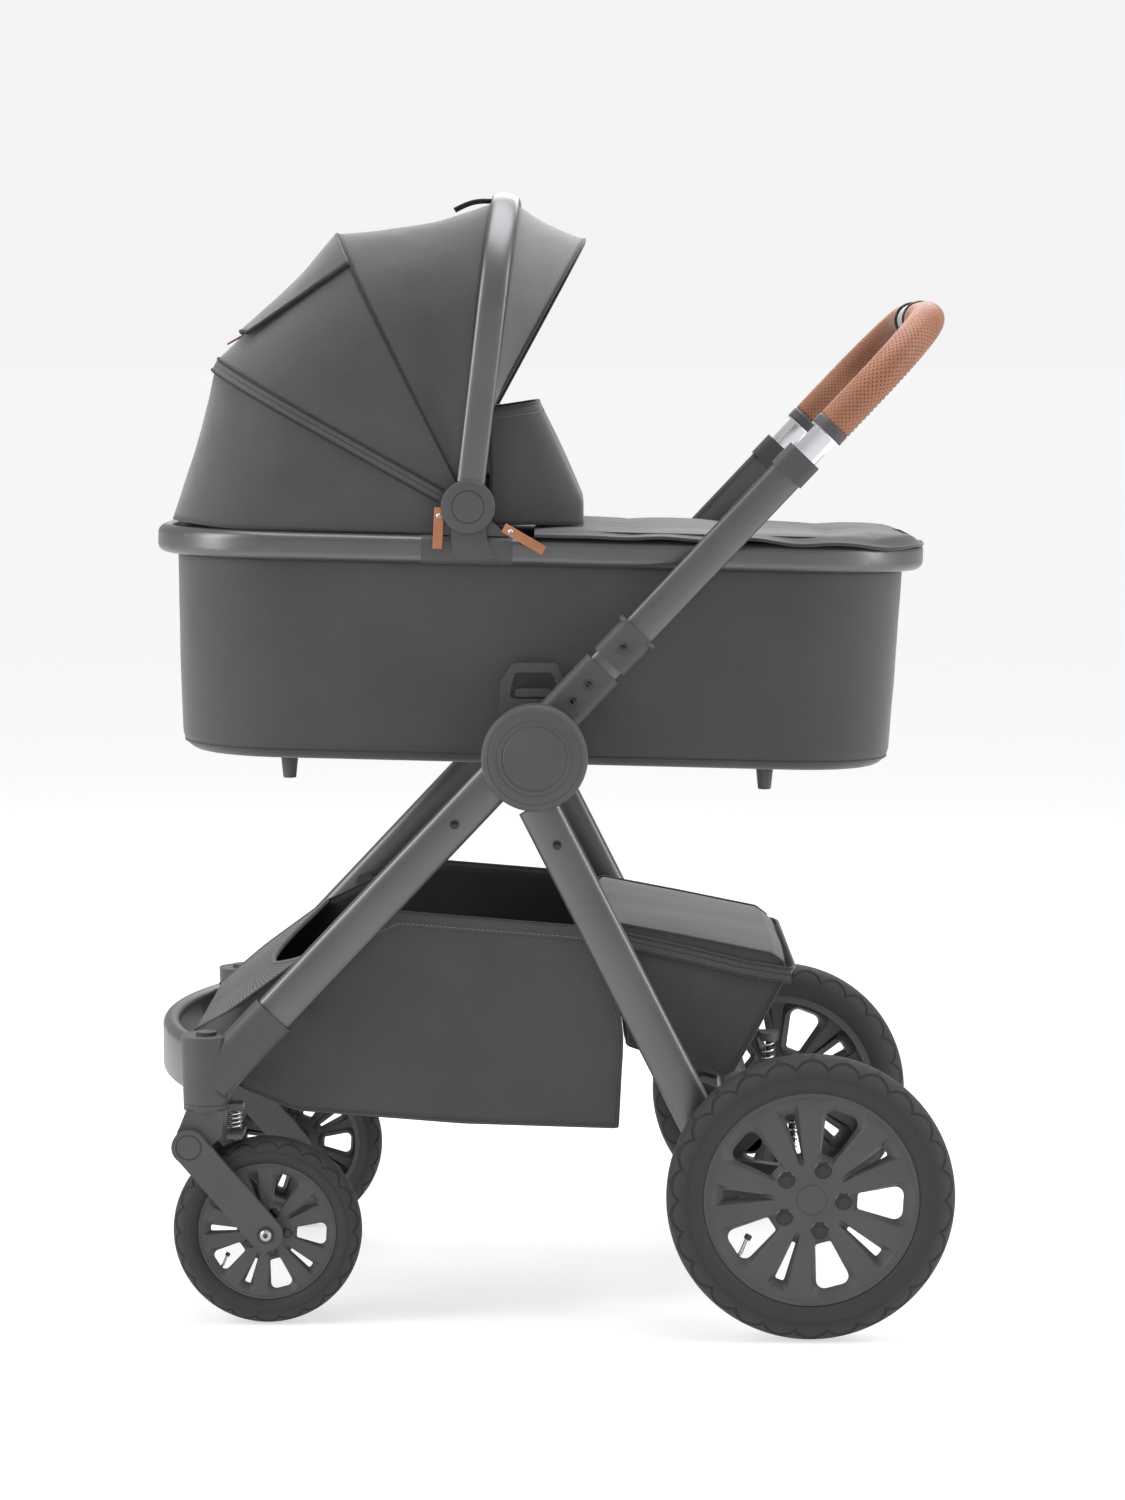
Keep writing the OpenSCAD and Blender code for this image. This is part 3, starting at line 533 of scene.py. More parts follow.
# places that several pieces share, in metres
hub = Vector((-0.011, 0, 0.565))
hoodPivot = Vector((-0.0764, 0, 0.8033))
cot = {"x": -0.006, "z": 0.759, "tilt": math.radians(1.4), "railHeight": 0.028}
arm = {"angle": math.radians(46.6), "offset": 0.008}
legs = {"front": {"angle": math.radians(226.7), "offset": -0.0104},
        "rear": {"angle": math.radians(296.8), "offset": -0.019}}


def inCot(x, y, z):  # from the level carrycot to its tilted place
    c, s = math.cos(cot["tilt"]), math.sin(cot["tilt"])
    return Vector((cot["x"] + x * c + z * s, y, cot["z"] - x * s + z * c))


def onArm(s, offset, y):  # along the handle arm, square to it, across
    c, n = math.cos(arm["angle"]), math.sin(arm["angle"])
    out = offset + arm["offset"]
    return Vector((hub.x + s * c - out * n, y, hub.z + s * n + out * c))


def onLeg(leg, s, across, y):  # down a leg from the hub, square to it, across
    c, n = math.cos(legs[leg]["angle"]), math.sin(legs[leg]["angle"])
    out = legs[leg]["offset"] + across
    return Vector((hub.x + s * c - out * n, y, hub.z + s * n + out * c))


def planPoint(halfLength, halfWidth, corner, t):
    # round a rounded rectangle, from the middle of its +x end
    straightX, straightY, bend = 2 * (halfLength - corner), 2 * (halfWidth - corner), corner * math.pi / 2
    total = 2 * straightX + 2 * straightY + 4 * bend
    d = (t % 1.0) * total
    quarter = total / 4
    flipX, flipY = -1 if quarter <= d < 3 * quarter else 1, 1 if d < 2 * quarter else -1
    if quarter <= d < 2 * quarter:
        d = 2 * quarter - d
    elif 2 * quarter <= d < 3 * quarter:
        d -= 2 * quarter
    elif d >= 3 * quarter:
        d = total - d
    if d < straightY / 2:
        x, y = halfLength, d
    elif d < straightY / 2 + bend:
        a = (d - straightY / 2) / corner
        x, y = halfLength - corner + corner * math.cos(a), halfWidth - corner + corner * math.sin(a)
    else:
        x, y = straightX / 2 - (d - straightY / 2 - bend), halfWidth
    return flipX * x, flipY * y


# wheels, in mm about their hubs
tyreShape = {"relief": 0.9, "stepsPerWing": 22, "rings": 44, "widest": 0.40, "bead": (0.05, 0.14),
             "shoulder": 0.35}


def tyre(name, centre, side, radius, halfWidth, seat, wings, body, replaced):
    bm = bmesh.new()
    middle = seat + (radius - seat) * tyreShape["widest"]
    profile = []
    for i in range(tyreShape["rings"] + 1):
        a = math.pi * i / tyreShape["rings"] - math.pi / 2
        out, across = math.cos(a), math.sin(a)
        r = middle + (radius - middle) * out
        profile.append((r, halfWidth * math.copysign(abs(across) ** 0.86, across)))
    low = [(seat + (middle - seat) * t, halfWidth * (1 - 0.30 * (1 - t) ** 1.8))
           for t in (0, 0.12, 0.3, 0.5, 0.75)]
    profile = [(r, -w) for r, w in low] + profile + [(r, w) for r, w in reversed(low)]
    verts = [bm.verts.new((centre[0] + r * mm, side * centre[1] + d * mm, centre[2])) for r, d in profile]
    edges = [bm.edges.new(pair) for pair in zip(verts, verts[1:])]
    bmesh.ops.spin(bm, geom=verts + edges, cent=(centre[0], 0, centre[2]), axis=(0, 1, 0), dvec=(0, 0, 0),
                   angle=2 * math.pi, steps=wings * tyreShape["stepsPerWing"], use_merge=True)
    bmesh.ops.remove_doubles(bm, verts=bm.verts, dist=0.00001)
    bmesh.ops.recalc_face_normals(bm, faces=bm.faces)
    layer = bm.loops.layers.uv.new("map")
    hubPlace = Vector((centre[0], side * centre[1], centre[2]))

    def turnOf(point):
        return math.atan2(point.z - hubPlace.z, point.x - hubPlace.x) / (2 * math.pi) * wings

    def heightOf(point):
        return (math.hypot(point.x - hubPlace.x, point.z - hubPlace.z) / mm - seat) / (radius - seat)

    for face in bm.faces:
        base = turnOf(face.calc_center_median())
        for loop in face.loops:
            u = turnOf(loop.vert.co)
            u += wings * round((base - u) / wings)
            loop[layer].uv = (u, heightOf(loop.vert.co))
    bm.normal_update()
    for vert in bm.verts:  # blocks of the tread stand proud of the shoulder
        u, v = turnOf(vert.co), heightOf(vert.co)
        edge = tread["low"] + tread["rise"] * abs(math.sin(math.pi * u)) ** tread["power"]
        sunk = 1 - smoothStep((v - edge + 0.03) / 0.06)
        if v > tyreShape["shoulder"]:
            ease = min(1.0, (v - tyreShape["shoulder"]) / 0.15)
            vert.co -= vert.normal * tyreShape["relief"] * mm * sunk * ease
        if tyreShape["bead"][0] < v < tyreShape["bead"][1]:
            vert.co += vert.normal * 0.5 * mm
    return addPiece(name, bm, "rubber", body, 40, replaced)


def windowLoop(r0, r1, w0, w1, c0, c1, turn, each=5):
    # outline of an opening: inner and outer radius, widths there, and corner radii
    corners = [((r0, -w0 / 2), c0), ((r1, -w1 / 2), c1), ((r1, w1 / 2), c1), ((r0, w0 / 2), c0)]
    points = []
    for i, (corner, radius) in enumerate(corners):
        before, after = Vector(corners[i - 1][0]), Vector(corners[(i + 1) % 4][0])
        b = Vector(corner)
        u, w = (before - b).normalized(), (after - b).normalized()
        half = math.acos(max(-1, min(1, u.dot(w)))) / 2
        start, end = b + u * radius / math.tan(half), b + w * radius / math.tan(half)
        middle = b + (u + w).normalized() * radius / math.sin(half)
        a0 = math.atan2(*(start - middle).yx)
        swing = (math.atan2(*(end - middle).yx) - a0 + 3 * math.pi) % (2 * math.pi) - math.pi
        for k in range(each + 1):
            a = a0 + swing * k / each
            points.append(middle + Vector((math.cos(a), math.sin(a))) * radius)
    c, s = math.cos(turn), math.sin(turn)
    return [(p.x * c - p.y * s, p.x * s + p.y * c) for p in points]


rimShape = {"wall": 7.5, "boltRing": 31, "phase": -3, "seat": 105}
openings = {  # the edge, step and hole of each opening for windowLoop, its depth, and its turn
    "window": ((37, 100, 15, 56, 4, 13), (38.5, 97.5, 14, 51, 4, 11), (45, 89, 15, 36, 3, 8), 6.0, 0),
    "slot": ((34, 96, 4.4, 23, 1.2, 4), (36, 94.5, 4, 20.5, 1.2, 3.4), (46, 85, 3.4, 9, 1.2, 2.0), 6.5, 36)}
boltSteps = ((8.4, 32, 0.5), (7.2, 32, 1.1), (5.8, 6, 2.4))  # radius, sides and height of each step


def rim(tag, centre, side, seat, width, body, replaced):
    k = seat / rimShape["seat"]  # sizes are those of the rear rim
    face = width * 0.32
    bm = bmesh.new()

    def loopAt(points, depth):
        y = side * (centre[1] + (face - depth) * mm)
        verts = [bm.verts.new((centre[0] + a * mm, y, centre[2] + b * mm)) for a, b in points]
        return [bm.edges.new((verts[i], verts[(i + 1) % len(verts)])) for i in range(len(verts))]

    reach = seat - 1.2
    outer = loopAt([(reach * math.cos(2 * math.pi * i / 120), reach * math.sin(2 * math.pi * i / 120))
                    for i in range(120)], 0)
    flats, rings = list(outer), []
    for i in range(5):
        for *rows, depth, lean in openings.values():
            turn = math.radians(72 * i + rimShape["phase"]) + math.radians(lean)
            lines = [windowLoop(*(n * k for n in row), turn) for row in rows]
            first, second, third = (loopAt(line, d * k) for line, d in zip(lines, (0, 1.3, depth)))
            flats += first
            rings += [(first, second), (second, third)]
    bmesh.ops.triangle_fill(bm, use_beauty=True, use_dissolve=False, edges=flats)
    for first, second in rings:
        bmesh.ops.bridge_loops(bm, edges=first + second)
    bmesh.ops.recalc_face_normals(bm, faces=bm.faces)
    made = addPiece("rim" + tag, bm, "plastic", body, 12, replaced)
    outwards = sum(p.normal.y * p.area for p in made.data.polygons) * side > 0
    thicken(made, rimShape["wall"] * k * mm, -1.0 if outwards else 1.0)
    soft = made.modifiers.new("softEdges", "BEVEL")
    soft.width, soft.segments = 0.5 * mm, 2
    soft.limit_method, soft.angle_limit = "ANGLE", math.radians(50)
    half = width * 0.36
    lathe("rimBarrel" + tag, [(seat - 7 * k, -half), (seat - 7 * k, face - 3), (seat - 4.5 * k, face + 0.6),
                              (seat - 0.6, face + 0.6), (seat + 0.8, face - 1), (seat + 0.8, -half),
                              (seat - 7 * k, -half)], centre, side, "plastic", body, 96)
    lathe("rimHub" + tag, [(6.3, face - 2), (6.3, -half), (17 * k, -half), (21 * k, face - 6),
                           (33 * k, face - 5)], centre, side, "plastic", body, 48)
    lathe("rimCap" + tag, [(0, face + 1.0), (9 * k, face + 0.95), (13.6 * k, face + 0.75),
                           (14 * k, face + 0.2), (14.4 * k, face - 0.8), (14.9 * k, face + 0.1),
                           (15.5 * k, face + 0.15), (16 * k, face - 0.3)], centre, side, "plastic", body, 48)
    bolts = bmesh.new()
    for i in range(5):
        turn = math.radians(72 * i + rimShape["phase"])
        ring = rimShape["boltRing"] * k
        x, z = (ring * math.cos(turn)) * mm, (ring * math.sin(turn)) * mm
        for radius, segments, height in boltSteps:
            made = bmesh.ops.create_cone(bolts, cap_ends=True, segments=segments, radius1=radius * k * mm,
                                         radius2=(radius * k - 0.5) * mm, depth=height * mm)["verts"]
            for vert in made:
                a, b, c = vert.co
                vert.co = (centre[0] + x + a, side * (centre[1] + (face + 0.1 + height / 2) * mm + c),
                           centre[2] + z + b)
    bmesh.ops.recalc_face_normals(bolts, faces=bolts.faces)
    addPiece("rimBolts" + tag, bolts, "gloss", body, 30)
    turn = math.radians(72 * 3 + rimShape["phase"] + 2)
    tip = [Vector((centre[0] + r * k * mm * math.cos(turn + lean), side * (centre[1] + (face - 9) * mm),
                   centre[2] + r * k * mm * math.sin(turn + lean)))
           for r, lean in ((97, 0.09), (86, 0.06), (78, 0.0), (74, -0.03), (70, -0.06))]
    pipe("valveStem" + tag, tip[:4], 1.9 * k * mm, "steel", body)
    pipe("valveCap" + tag, tip[3:], 3.6 * k * mm, "darkPlastic", body)


wheels = {"rear": {"centre": (0.2563, 0.281, 0.140), "radius": 140, "half": 22, "seat": 105,
                   "wings": 26, "width": 44},
          "front": {"centre": (-0.2748, 0.213, 0.093), "radius": 93, "half": 18, "seat": 68.5,
                    "wings": 22, "width": 36}}
for place, w in wheels.items():
    for letter, side in sides.items():
        body, tag = f"{place}_wheel_{letter}", place.title() + letter.upper()
        tyre("tyre" + tag, w["centre"], side, w["radius"], w["half"], w["seat"], w["wings"], body,
             [f"{place}_tyre_{letter}"])
        rim(tag, w["centre"], side, w["seat"], w["width"], body, [f"{place}_rim_{letter}"])
print("wheels made")


# hood: three panels between its bow, two seams and the rail
hood = {"reach": 0.2985, "halfWidth": 0.1672, "corner": 0.112, "foot": 0.021, "bowAngle": 83.2,
        "midAngle": 116.3, "rearAngle": 150.7, "railAngle": 186.0, "bowEdge": 0.0128, "rearReach": 0.291,
        "wall": 1.6 * mm}


def archPoint(angle, reach, halfWidth, corner, foot, t, shift=0.0, pivot=hoodPivot):
    # round an arch that leans at an angle about the pivot, t from 0 at the -y foot to 1 at the other
    a = math.radians(angle)
    leg, bend = reach - corner - foot, corner * math.pi / 2
    total = 2 * leg + 2 * bend + 2 * (halfWidth - corner)
    d, side = (t * total, -1) if t < 0.5 else (total - t * total, 1)
    if d < leg:
        up, across = foot + d, halfWidth
    elif d < leg + bend:
        turn = (d - leg) / corner
        up, across = reach - corner + corner * math.sin(turn), halfWidth - corner + corner * math.cos(turn)
    else:
        up, across = reach, halfWidth - corner - (d - leg - bend)
    return Vector((pivot.x + up * math.cos(a) - shift * math.sin(a), side * across,
                   pivot.z + up * math.sin(a) + shift * math.cos(a)))


def bowEdge(t):
    return archPoint(hood["bowAngle"], hood["reach"], hood["halfWidth"], hood["corner"], hood["foot"], t,
                     hood["bowEdge"])


def midSeam(t):
    return archPoint(hood["midAngle"], hood["reach"], hood["halfWidth"], hood["corner"], hood["foot"], t)


def rearSeam(t, shift=0.0, proud=0.0):
    return archPoint(hood["rearAngle"], hood["rearReach"] + proud, hood["halfWidth"] + proud, hood["corner"],
                     hood["foot"], t, shift)


def railSeam(t):  # where the hood meets the rail
    start, end, corner, halfWidth = -0.094, -0.3775, 0.118, 0.1675
    straight, bend = start - end - corner, corner * math.pi / 2
    total = 2 * (straight + bend + halfWidth - corner)
    d, side = (t * total, -1) if t < 0.5 else (total - t * total, 1)
    if d < straight:
        x, y = start - d, halfWidth
    elif d < straight + bend:
        a = (d - straight) / corner
        x, y = end + corner - corner * math.sin(a), halfWidth - corner + corner * math.cos(a)
    else:
        x, y = end, halfWidth - corner - (d - straight - bend)
    lift = 0.0008 + 0.004 * smoothStep((-x - 0.3) / 0.08)
    return inCot(x - cot["x"], side * y, cot["railHeight"] / 2 + lift)


def sagged(first, second, t, v, depth):  # between two seams, drawn in by depth at the middle
    a, b = first(t), second(t)
    point = a.lerp(b, v)
    inwards = Vector((hoodPivot.x, 0, hoodPivot.z + 0.05)) - point
    inwards.normalize()
    edge = smoothStep(min(t, 1 - t) * 6)
    wrinkle = ripple(point, 16) * 0.0022 + ripple(point, 45, 7) * 0.0006
    middle = math.sin(math.pi * v)
    return point + inwards * (middle * depth * edge) + inwards * wrinkle * middle


def hingePoint(angle, reach=0.25):
    a = math.radians(angle)
    return hoodPivot + Vector((math.cos(a), 0, math.sin(a))) * reach


def bendBetween(piece, bodyA, bodyB, angleA, angleB):
    hingePoint(angleA)
    hingePoint(angleB)
    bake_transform(piece)


def alongSeam(seam, steps, margin, **place):  # points of a seam, but for a margin at each foot
    return [seam(margin + (1 - 2 * margin) * i / steps, **place) for i in range(steps + 1)]


hoodPanels = {  # seams, depth of the sag, bodies and angles at the two edges
    "Front": (midSeam, bowEdge, 0.0065, "hood_mid", "hood_bow", hood["midAngle"], hood["bowAngle"]),
    "Mid": (rearSeam, midSeam, 0.0035, "hood_rear", "hood_mid", hood["rearAngle"], hood["midAngle"]),
    "Rear": (railSeam, rearSeam, 0.0030, "carrycot", "hood_rear", hood["railAngle"], hood["rearAngle"]),
}
for name, (first, second, depth, *bend) in hoodPanels.items():
    panel = clothSheet("hoodPanel" + name, (150, 26), lambda u, v: sagged(first, second, u, v, depth),
                       "cloth", None, (0.95, 0.17), "stretched", ["hood_bow"], hood["wall"], 0.0,
                       ["hood_panel_" + name.lower()])
    bendBetween(panel, *bend)
for name, seam, proud, radius, body in (("hoodSeamCord", midSeam, 0.6 * mm, 1.25 * mm, "hood_mid"),
                                        ("hoodBowCord", bowEdge, 0.5 * mm, 1.1 * mm, "hood_bow")):
    cordPath = [p + (p - hoodPivot).normalized() * proud for p in alongSeam(seam, 180, 0.008)]
    pipe(name, cordPath, radius, "lining", body)

# zip band under the rear seam
zipBand = {"near": -0.002, "far": 0.0105, "proud": 0.9 * mm, "margin": 0.01, "cells": (170, 6)}


def bandOnHood(u, v):
    shift = zipBand["near"] + (zipBand["far"] - zipBand["near"]) * v
    return rearSeam(zipBand["margin"] + (1 - 2 * zipBand["margin"]) * u, shift, zipBand["proud"])


clothSheet("hoodZipBand", zipBand["cells"], bandOnHood, "tape", "hood_rear", (0.95, 1.0), "stretched",
           ["hood_rib_rear"])
for name, shift in (("Upper", zipBand["near"]), ("Lower", zipBand["far"])):
    cordPath = alongSeam(rearSeam, zipBand["cells"][0], zipBand["margin"], shift=shift,
                         proud=zipBand["proud"])
    pipe("hoodZipCord" + name, cordPath, 1.3 * mm, "lining", "hood_rear")

# rolled cover of the window
cover = {"length": 0.80, "wideStart": 0.150, "wideEnd": 0.104, "lift": 3.6 * mm, "sag": 0.0035}
archLength = (2 * (hood["reach"] - hood["corner"] - hood["foot"]) + math.pi * hood["corner"]
              + 2 * (hood["halfWidth"] - hood["corner"]))


def coverSpot(u, v):
    reach = cover["wideStart"] + (cover["wideEnd"] - cover["wideStart"]) * v
    rounded = 1 - 0.05 * v * (2 * u - 1) ** 2
    t = 0.5 + (2 * u - 1) * reach / archLength
    point = sagged(midSeam, rearSeam, t, v * cover["length"] * rounded, cover["sag"])
    outwards = (point - hoodPivot).normalized()
    lift = cover["lift"] * (0.5 + 0.9 * abs(2 * u - 1) ** 3 + 0.8 * v * v)
    return point + outwards * lift


coverSheet = clothSheet("windowCover", (60, 30), coverSpot, "cloth", None, (0.27, 0.12), "hung",
                        ["hoodPanelMid"], 2.2 * mm)
rimPath = [coverSpot(0, i / 24) for i in range(25)] + [coverSpot(i / 20, 1) for i in range(1, 21)]
rimPath += [coverSpot(1, 1 - i / 24) for i in range(1, 25)]
coverEdge = pipe("windowCoverEdge", rimPath, 2.0 * mm, "lining", None)
tip = coverSpot(0.5, 1)
loopPath = [tip + Vector((-0.018 * math.sin(a), 0.006 * math.cos(a), -0.010 * math.sin(a)))
            for a in (math.pi * i / 16 for i in range(17))]
coverLoop = pipe("coverLoop", loopPath, 0.9 * mm, "leather", None)
for piece in (coverSheet, coverEdge, coverLoop):
    bendBetween(piece, "hood_mid", "hood_rear", hood["midAngle"], hood["rearAngle"])

carry = {"front": Vector((-0.0555, 0, 1.1045)), "rear": Vector((-0.0935, 0, 1.0955)), "width": 0.052,
         "arch": 0.0035, "lift": 0.002, "wall": 3.0 * mm}


def strapSpot(u, v):  # carrying strap behind the bow
    point = carry["front"].lerp(carry["rear"], v)
    rise = carry["arch"] * math.sin(math.pi * v) + carry["lift"]
    return point + Vector((0, (u - 0.5) * carry["width"], rise))


# the near-black lining finish on this strap is painted shade: its underside lies in shadow
clothSheet("carryStrap", (12, 10), strapSpot, "lining", "hood_bow", (0.05, 0.04), "hung", ["hood_bow"],
           carry["wall"])

bowTube = {"reach": 0.3055, "halfWidth": 0.1755, "corner": 0.120, "foot": 0.024, "halfThick": 5.9 * mm,
           "halfDepth": 14}


def bowSpot(u, v):
    out, along = ovalCut(2 * math.pi * u)
    out *= bowTube["halfThick"]
    return archPoint(hood["bowAngle"], bowTube["reach"] + out, bowTube["halfWidth"] + out,
                     bowTube["corner"] + out, bowTube["foot"], v, along * bowTube["halfDepth"] * mm)


bow = sheetGrid("hoodBow", 48, 220, bowSpot, "tube", "hood_bow", (0.07, 0.9), True)
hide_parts("hood_bow")
print("hood made")

# visor on its own wire
visor = {"pivot": Vector((-0.054, 0, 0.900)), "angle": 61.4, "reach": 0.1895, "halfWidth": 0.1585,
         "corner": 0.1, "rootReach": 0.299, "rootHalfWidth": 0.1665, "rootFoot": 0.098, "sag": 0.0035}


def visorEdge(t):
    return archPoint(visor["angle"], visor["reach"], visor["halfWidth"], visor["corner"], 0.001, t, -0.001,
                     visor["pivot"])


def visorRoot(t):
    return archPoint(hood["bowAngle"], visor["rootReach"], visor["rootHalfWidth"], hood["corner"],
                     visor["rootFoot"], t, -0.0132)


def visorSpot(u, v):
    point = visorRoot(u).lerp(visorEdge(u), v)
    inwards = (Vector((-0.03, 0, 0.93)) - point).normalized()
    return point + inwards * (math.sin(math.pi * v) * visor["sag"] * smoothStep(min(u, 1 - u) * 5)
                              + ripple(point, 40, 3) * 0.0008 * math.sin(math.pi * v))


visorSheet = clothSheet("visorCloth", (110, 16), visorSpot, "sheer", None, (0.62, 0.11), "stretched",
                        ["hood_bow", "visorHem"], 1.6 * mm, 0.0, ["visor"])
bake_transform(visorSheet)
pipe("visorHem", [visorEdge(i / 120) for i in range(121)], 2.0 * mm, "trim", "visor", replaced=["visor_wire"])


# carrycot: tub, feet, floor and mattress pad
tub = {"top": -0.012, "depth": 0.2, "halfLength": 0.3665, "halfWidth": 0.1690, "corner": 0.112,
       "taper": 0.008, "foot": 0.020, "wallShare": 0.80, "wall": 5 * mm, "flat": (1.92, 0.62)}


def tubSpot(u, v):
    if v < tub["wallShare"]:
        down = (tub["depth"] - tub["foot"]) * v / tub["wallShare"]
        inset = tub["taper"] * v / tub["wallShare"]
    else:
        a = (v - tub["wallShare"]) / 0.20 * math.pi / 2
        down = tub["depth"] - tub["foot"] + tub["foot"] * math.sin(a)
        inset = tub["taper"] + tub["foot"] * (1 - math.cos(a))
    x, y = planPoint(tub["halfLength"] - inset, tub["halfWidth"] - inset, tub["corner"] - inset, u)
    point = inCot(x, y, tub["top"] - down)
    out = Vector((x, y * 1.6, 0)).normalized()
    uneven = 0.0006 + 0.0011 * ripple(point, 7) + 0.0005 * ripple(point, 30, 4)
    return point + out * (math.sin(math.pi * min(v / 0.9, 1)) * uneven - 0.0012)


def makeTub():  # walls and bottom in one open shell, closed round the seam
    bm = bmesh.new()
    bmesh.ops.create_grid(bm, x_segments=260, y_segments=46, size=0.5)
    layer = bm.loops.layers.uv.new("map")
    for face in bm.faces:
        for loop in face.loops:
            loop[layer].uv = ((loop.vert.co.x + 0.5) * 1.9, (loop.vert.co.y + 0.5) * 0.23)
    for vert in bm.verts:
        vert.co = tubSpot(vert.co.x + 0.5, vert.co.y + 0.5)
    bmesh.ops.remove_doubles(bm, verts=bm.verts, dist=0.00002)
    bottom = [e for e in bm.edges if e.is_boundary and e.verts[0].co.z < 0.62]
    bmesh.ops.edgeloop_fill(bm, edges=bottom)
    bmesh.ops.recalc_face_normals(bm, faces=bm.faces)
    piece = addPiece("tubCloth", bm, "cloth", "carrycot", 50, ["cot_tub"])
    middle = Vector((0, 0, 0.66))
    outwards = sum(p.normal.dot(p.center - middle) * p.area for p in piece.data.polygons) > 0
    thicken(piece, tub["wall"], -1.0 if outwards else 1.0)


def tubLine(v, out):  # round the tub at one height, proud by out
    points = [tubSpot(i / 240, v) for i in range(240)]
    return [p + (p - Vector((0, 0, p.z))).normalized() * out for p in points]


makeTub()
pipe("tubBottomCord", tubLine(0.87, 0.2 * mm), 1.3 * mm, "trim", "carrycot", True)

feet = {"along": (-0.246, 0.230), "across": 0.110, "height": -0.2225, "tip": 6.5 * mm, "root": 9 * mm,
        "length": 25 * mm}
for side in sides.values():
    for x in feet["along"]:
        bm = bmesh.new()
        spot = inCot(x, feet["across"] * side, feet["height"])
        made = bmesh.ops.create_cone(bm, cap_ends=True, segments=40, radius1=feet["tip"],
                                     radius2=feet["root"], depth=feet["length"])["verts"]
        for vert in made:
            vert.co += spot
        level = [e for e in bm.edges if abs(e.verts[0].co.z - e.verts[1].co.z) < 0.001]
        bmesh.ops.bevel(bm, geom=level, offset=0.8 * mm, segments=2, profile=0.5, affect="EDGES", material=-1)
        addPiece(f"cotFoot{side}{int(x * 1000)}".replace("-", "m"), bm, "plastic", "carrycot")
pillow("cotFloor", 0.345, 0.148, 0.098, -0.2065, -0.1965, "plastic", "carrycot", ["cot_base"], 8)
pad = pillow("mattressPad", 0.343, 0.146, 0.096, -0.194, -0.152, "mattress", "carrycot", ["mattress"], 6)

# sleeves of the rail at the hood brackets
sleeve = {"from": -0.1165, "to": -0.0270, "halfHeight": 0.0144, "halfWidth": 0.0094, "across": 0.170}
for letter, side in sides.items():
    def sleeveSpot(u, v):
        x = sleeve["from"] + (sleeve["to"] - sleeve["from"]) * v
        a, w = 2 * math.pi * u, sleeve["halfWidth"]
        straight = sleeve["halfHeight"] - w
        up = math.copysign(straight, math.sin(a)) if abs(math.sin(a)) > 1e-6 else 0
        return inCot(x, side * sleeve["across"] + w * math.cos(a), up + w * math.sin(a))

    sheetGrid("railSleeve" + letter.upper(), 48, 2, sleeveSpot, "plastic", "carrycot", (0.1, 0.1), True)

# pivot discs of the hood, each with a tongue over the rail
discProfile = [(0, 10.6), (14.8, 10.6), (15.4, 9.9), (16.2, 9.9), (16.8, 10.7), (23.5, 10.5), (25.6, 9.8),
               (26.6, 8.4), (26.6, 1.5)]
tongue = {"outline": [(-17, -14), (-17, -34), (-12, -52), (30, -52), (24, -42), (19, -34), (17, -14)],
          "across": 0.1768, "thick": 3.6 * mm}
for letter, side in sides.items():
    lathe("hoodDisc" + letter.upper(), discProfile, (hoodPivot.x, 0.1752, hoodPivot.z), side, "plastic",
          "hood_bow", 72)
    bm = bmesh.new()
    corners = [bm.verts.new((hoodPivot.x + a * mm, side * tongue["across"], hoodPivot.z + b * mm))
               for a, b in tongue["outline"]]
    grow(bm, [bm.faces.new(corners)], (0, side * tongue["thick"], 0), 1.2 * mm)
    addPiece("hoodTongue" + letter.upper(), bm, "plastic", "carrycot", 30)
print("carrycot made")

# apron, its zip tape and the wind guard
apron = {"start": -0.012, "end": 0.3795, "half": 0.1795, "corner": 0.125, "puff": 0.0035, "base": 0.0195,
         "channels": 4, "cells": (110, 80), "wall": 3.0 * mm, "pressure": 4.0, "frames": 20, "cap": 0.011}


def apronBorder(u, v):  # 0 at the sewn border, rising inwards
    return min(1 - abs(2 * v - 1), (1 - u) * 2.2)


def apronSpot(u, v):
    x = apron["start"] + (apron["end"] - apron["start"]) * u
    over = max(0.0, x - (apron["end"] - apron["corner"]))
    halfWidth = apron["half"] - apron["corner"] + math.sqrt(max(apron["corner"] ** 2 - over * over, 0))
    y = (2 * v - 1) * halfWidth
    border = apronBorder(u, v)
    crown = abs(math.sin(math.pi * u * apron["channels"])) ** 0.5 * 0.6 + 0.4
    puff = apron["puff"] * smoothStep(border / 0.16) * crown
    place = Vector((x, y, 0))
    edge = 1 - smoothStep(border / 0.20)
    wave = 0.0042 * ripple(place, 16, 2.5) * edge * smoothStep((u - 0.05) / 0.3)
    droop = -0.0075 * (1 - smoothStep(border / 0.10)) * (0.25 + 0.75 * smoothStep((u - 0.55) / 0.45))
    uneven = 0.0016 * ripple(place, 22, 5)
    return inCot(x - cot["x"], y, apron["base"] + puff + wave + droop + uneven)


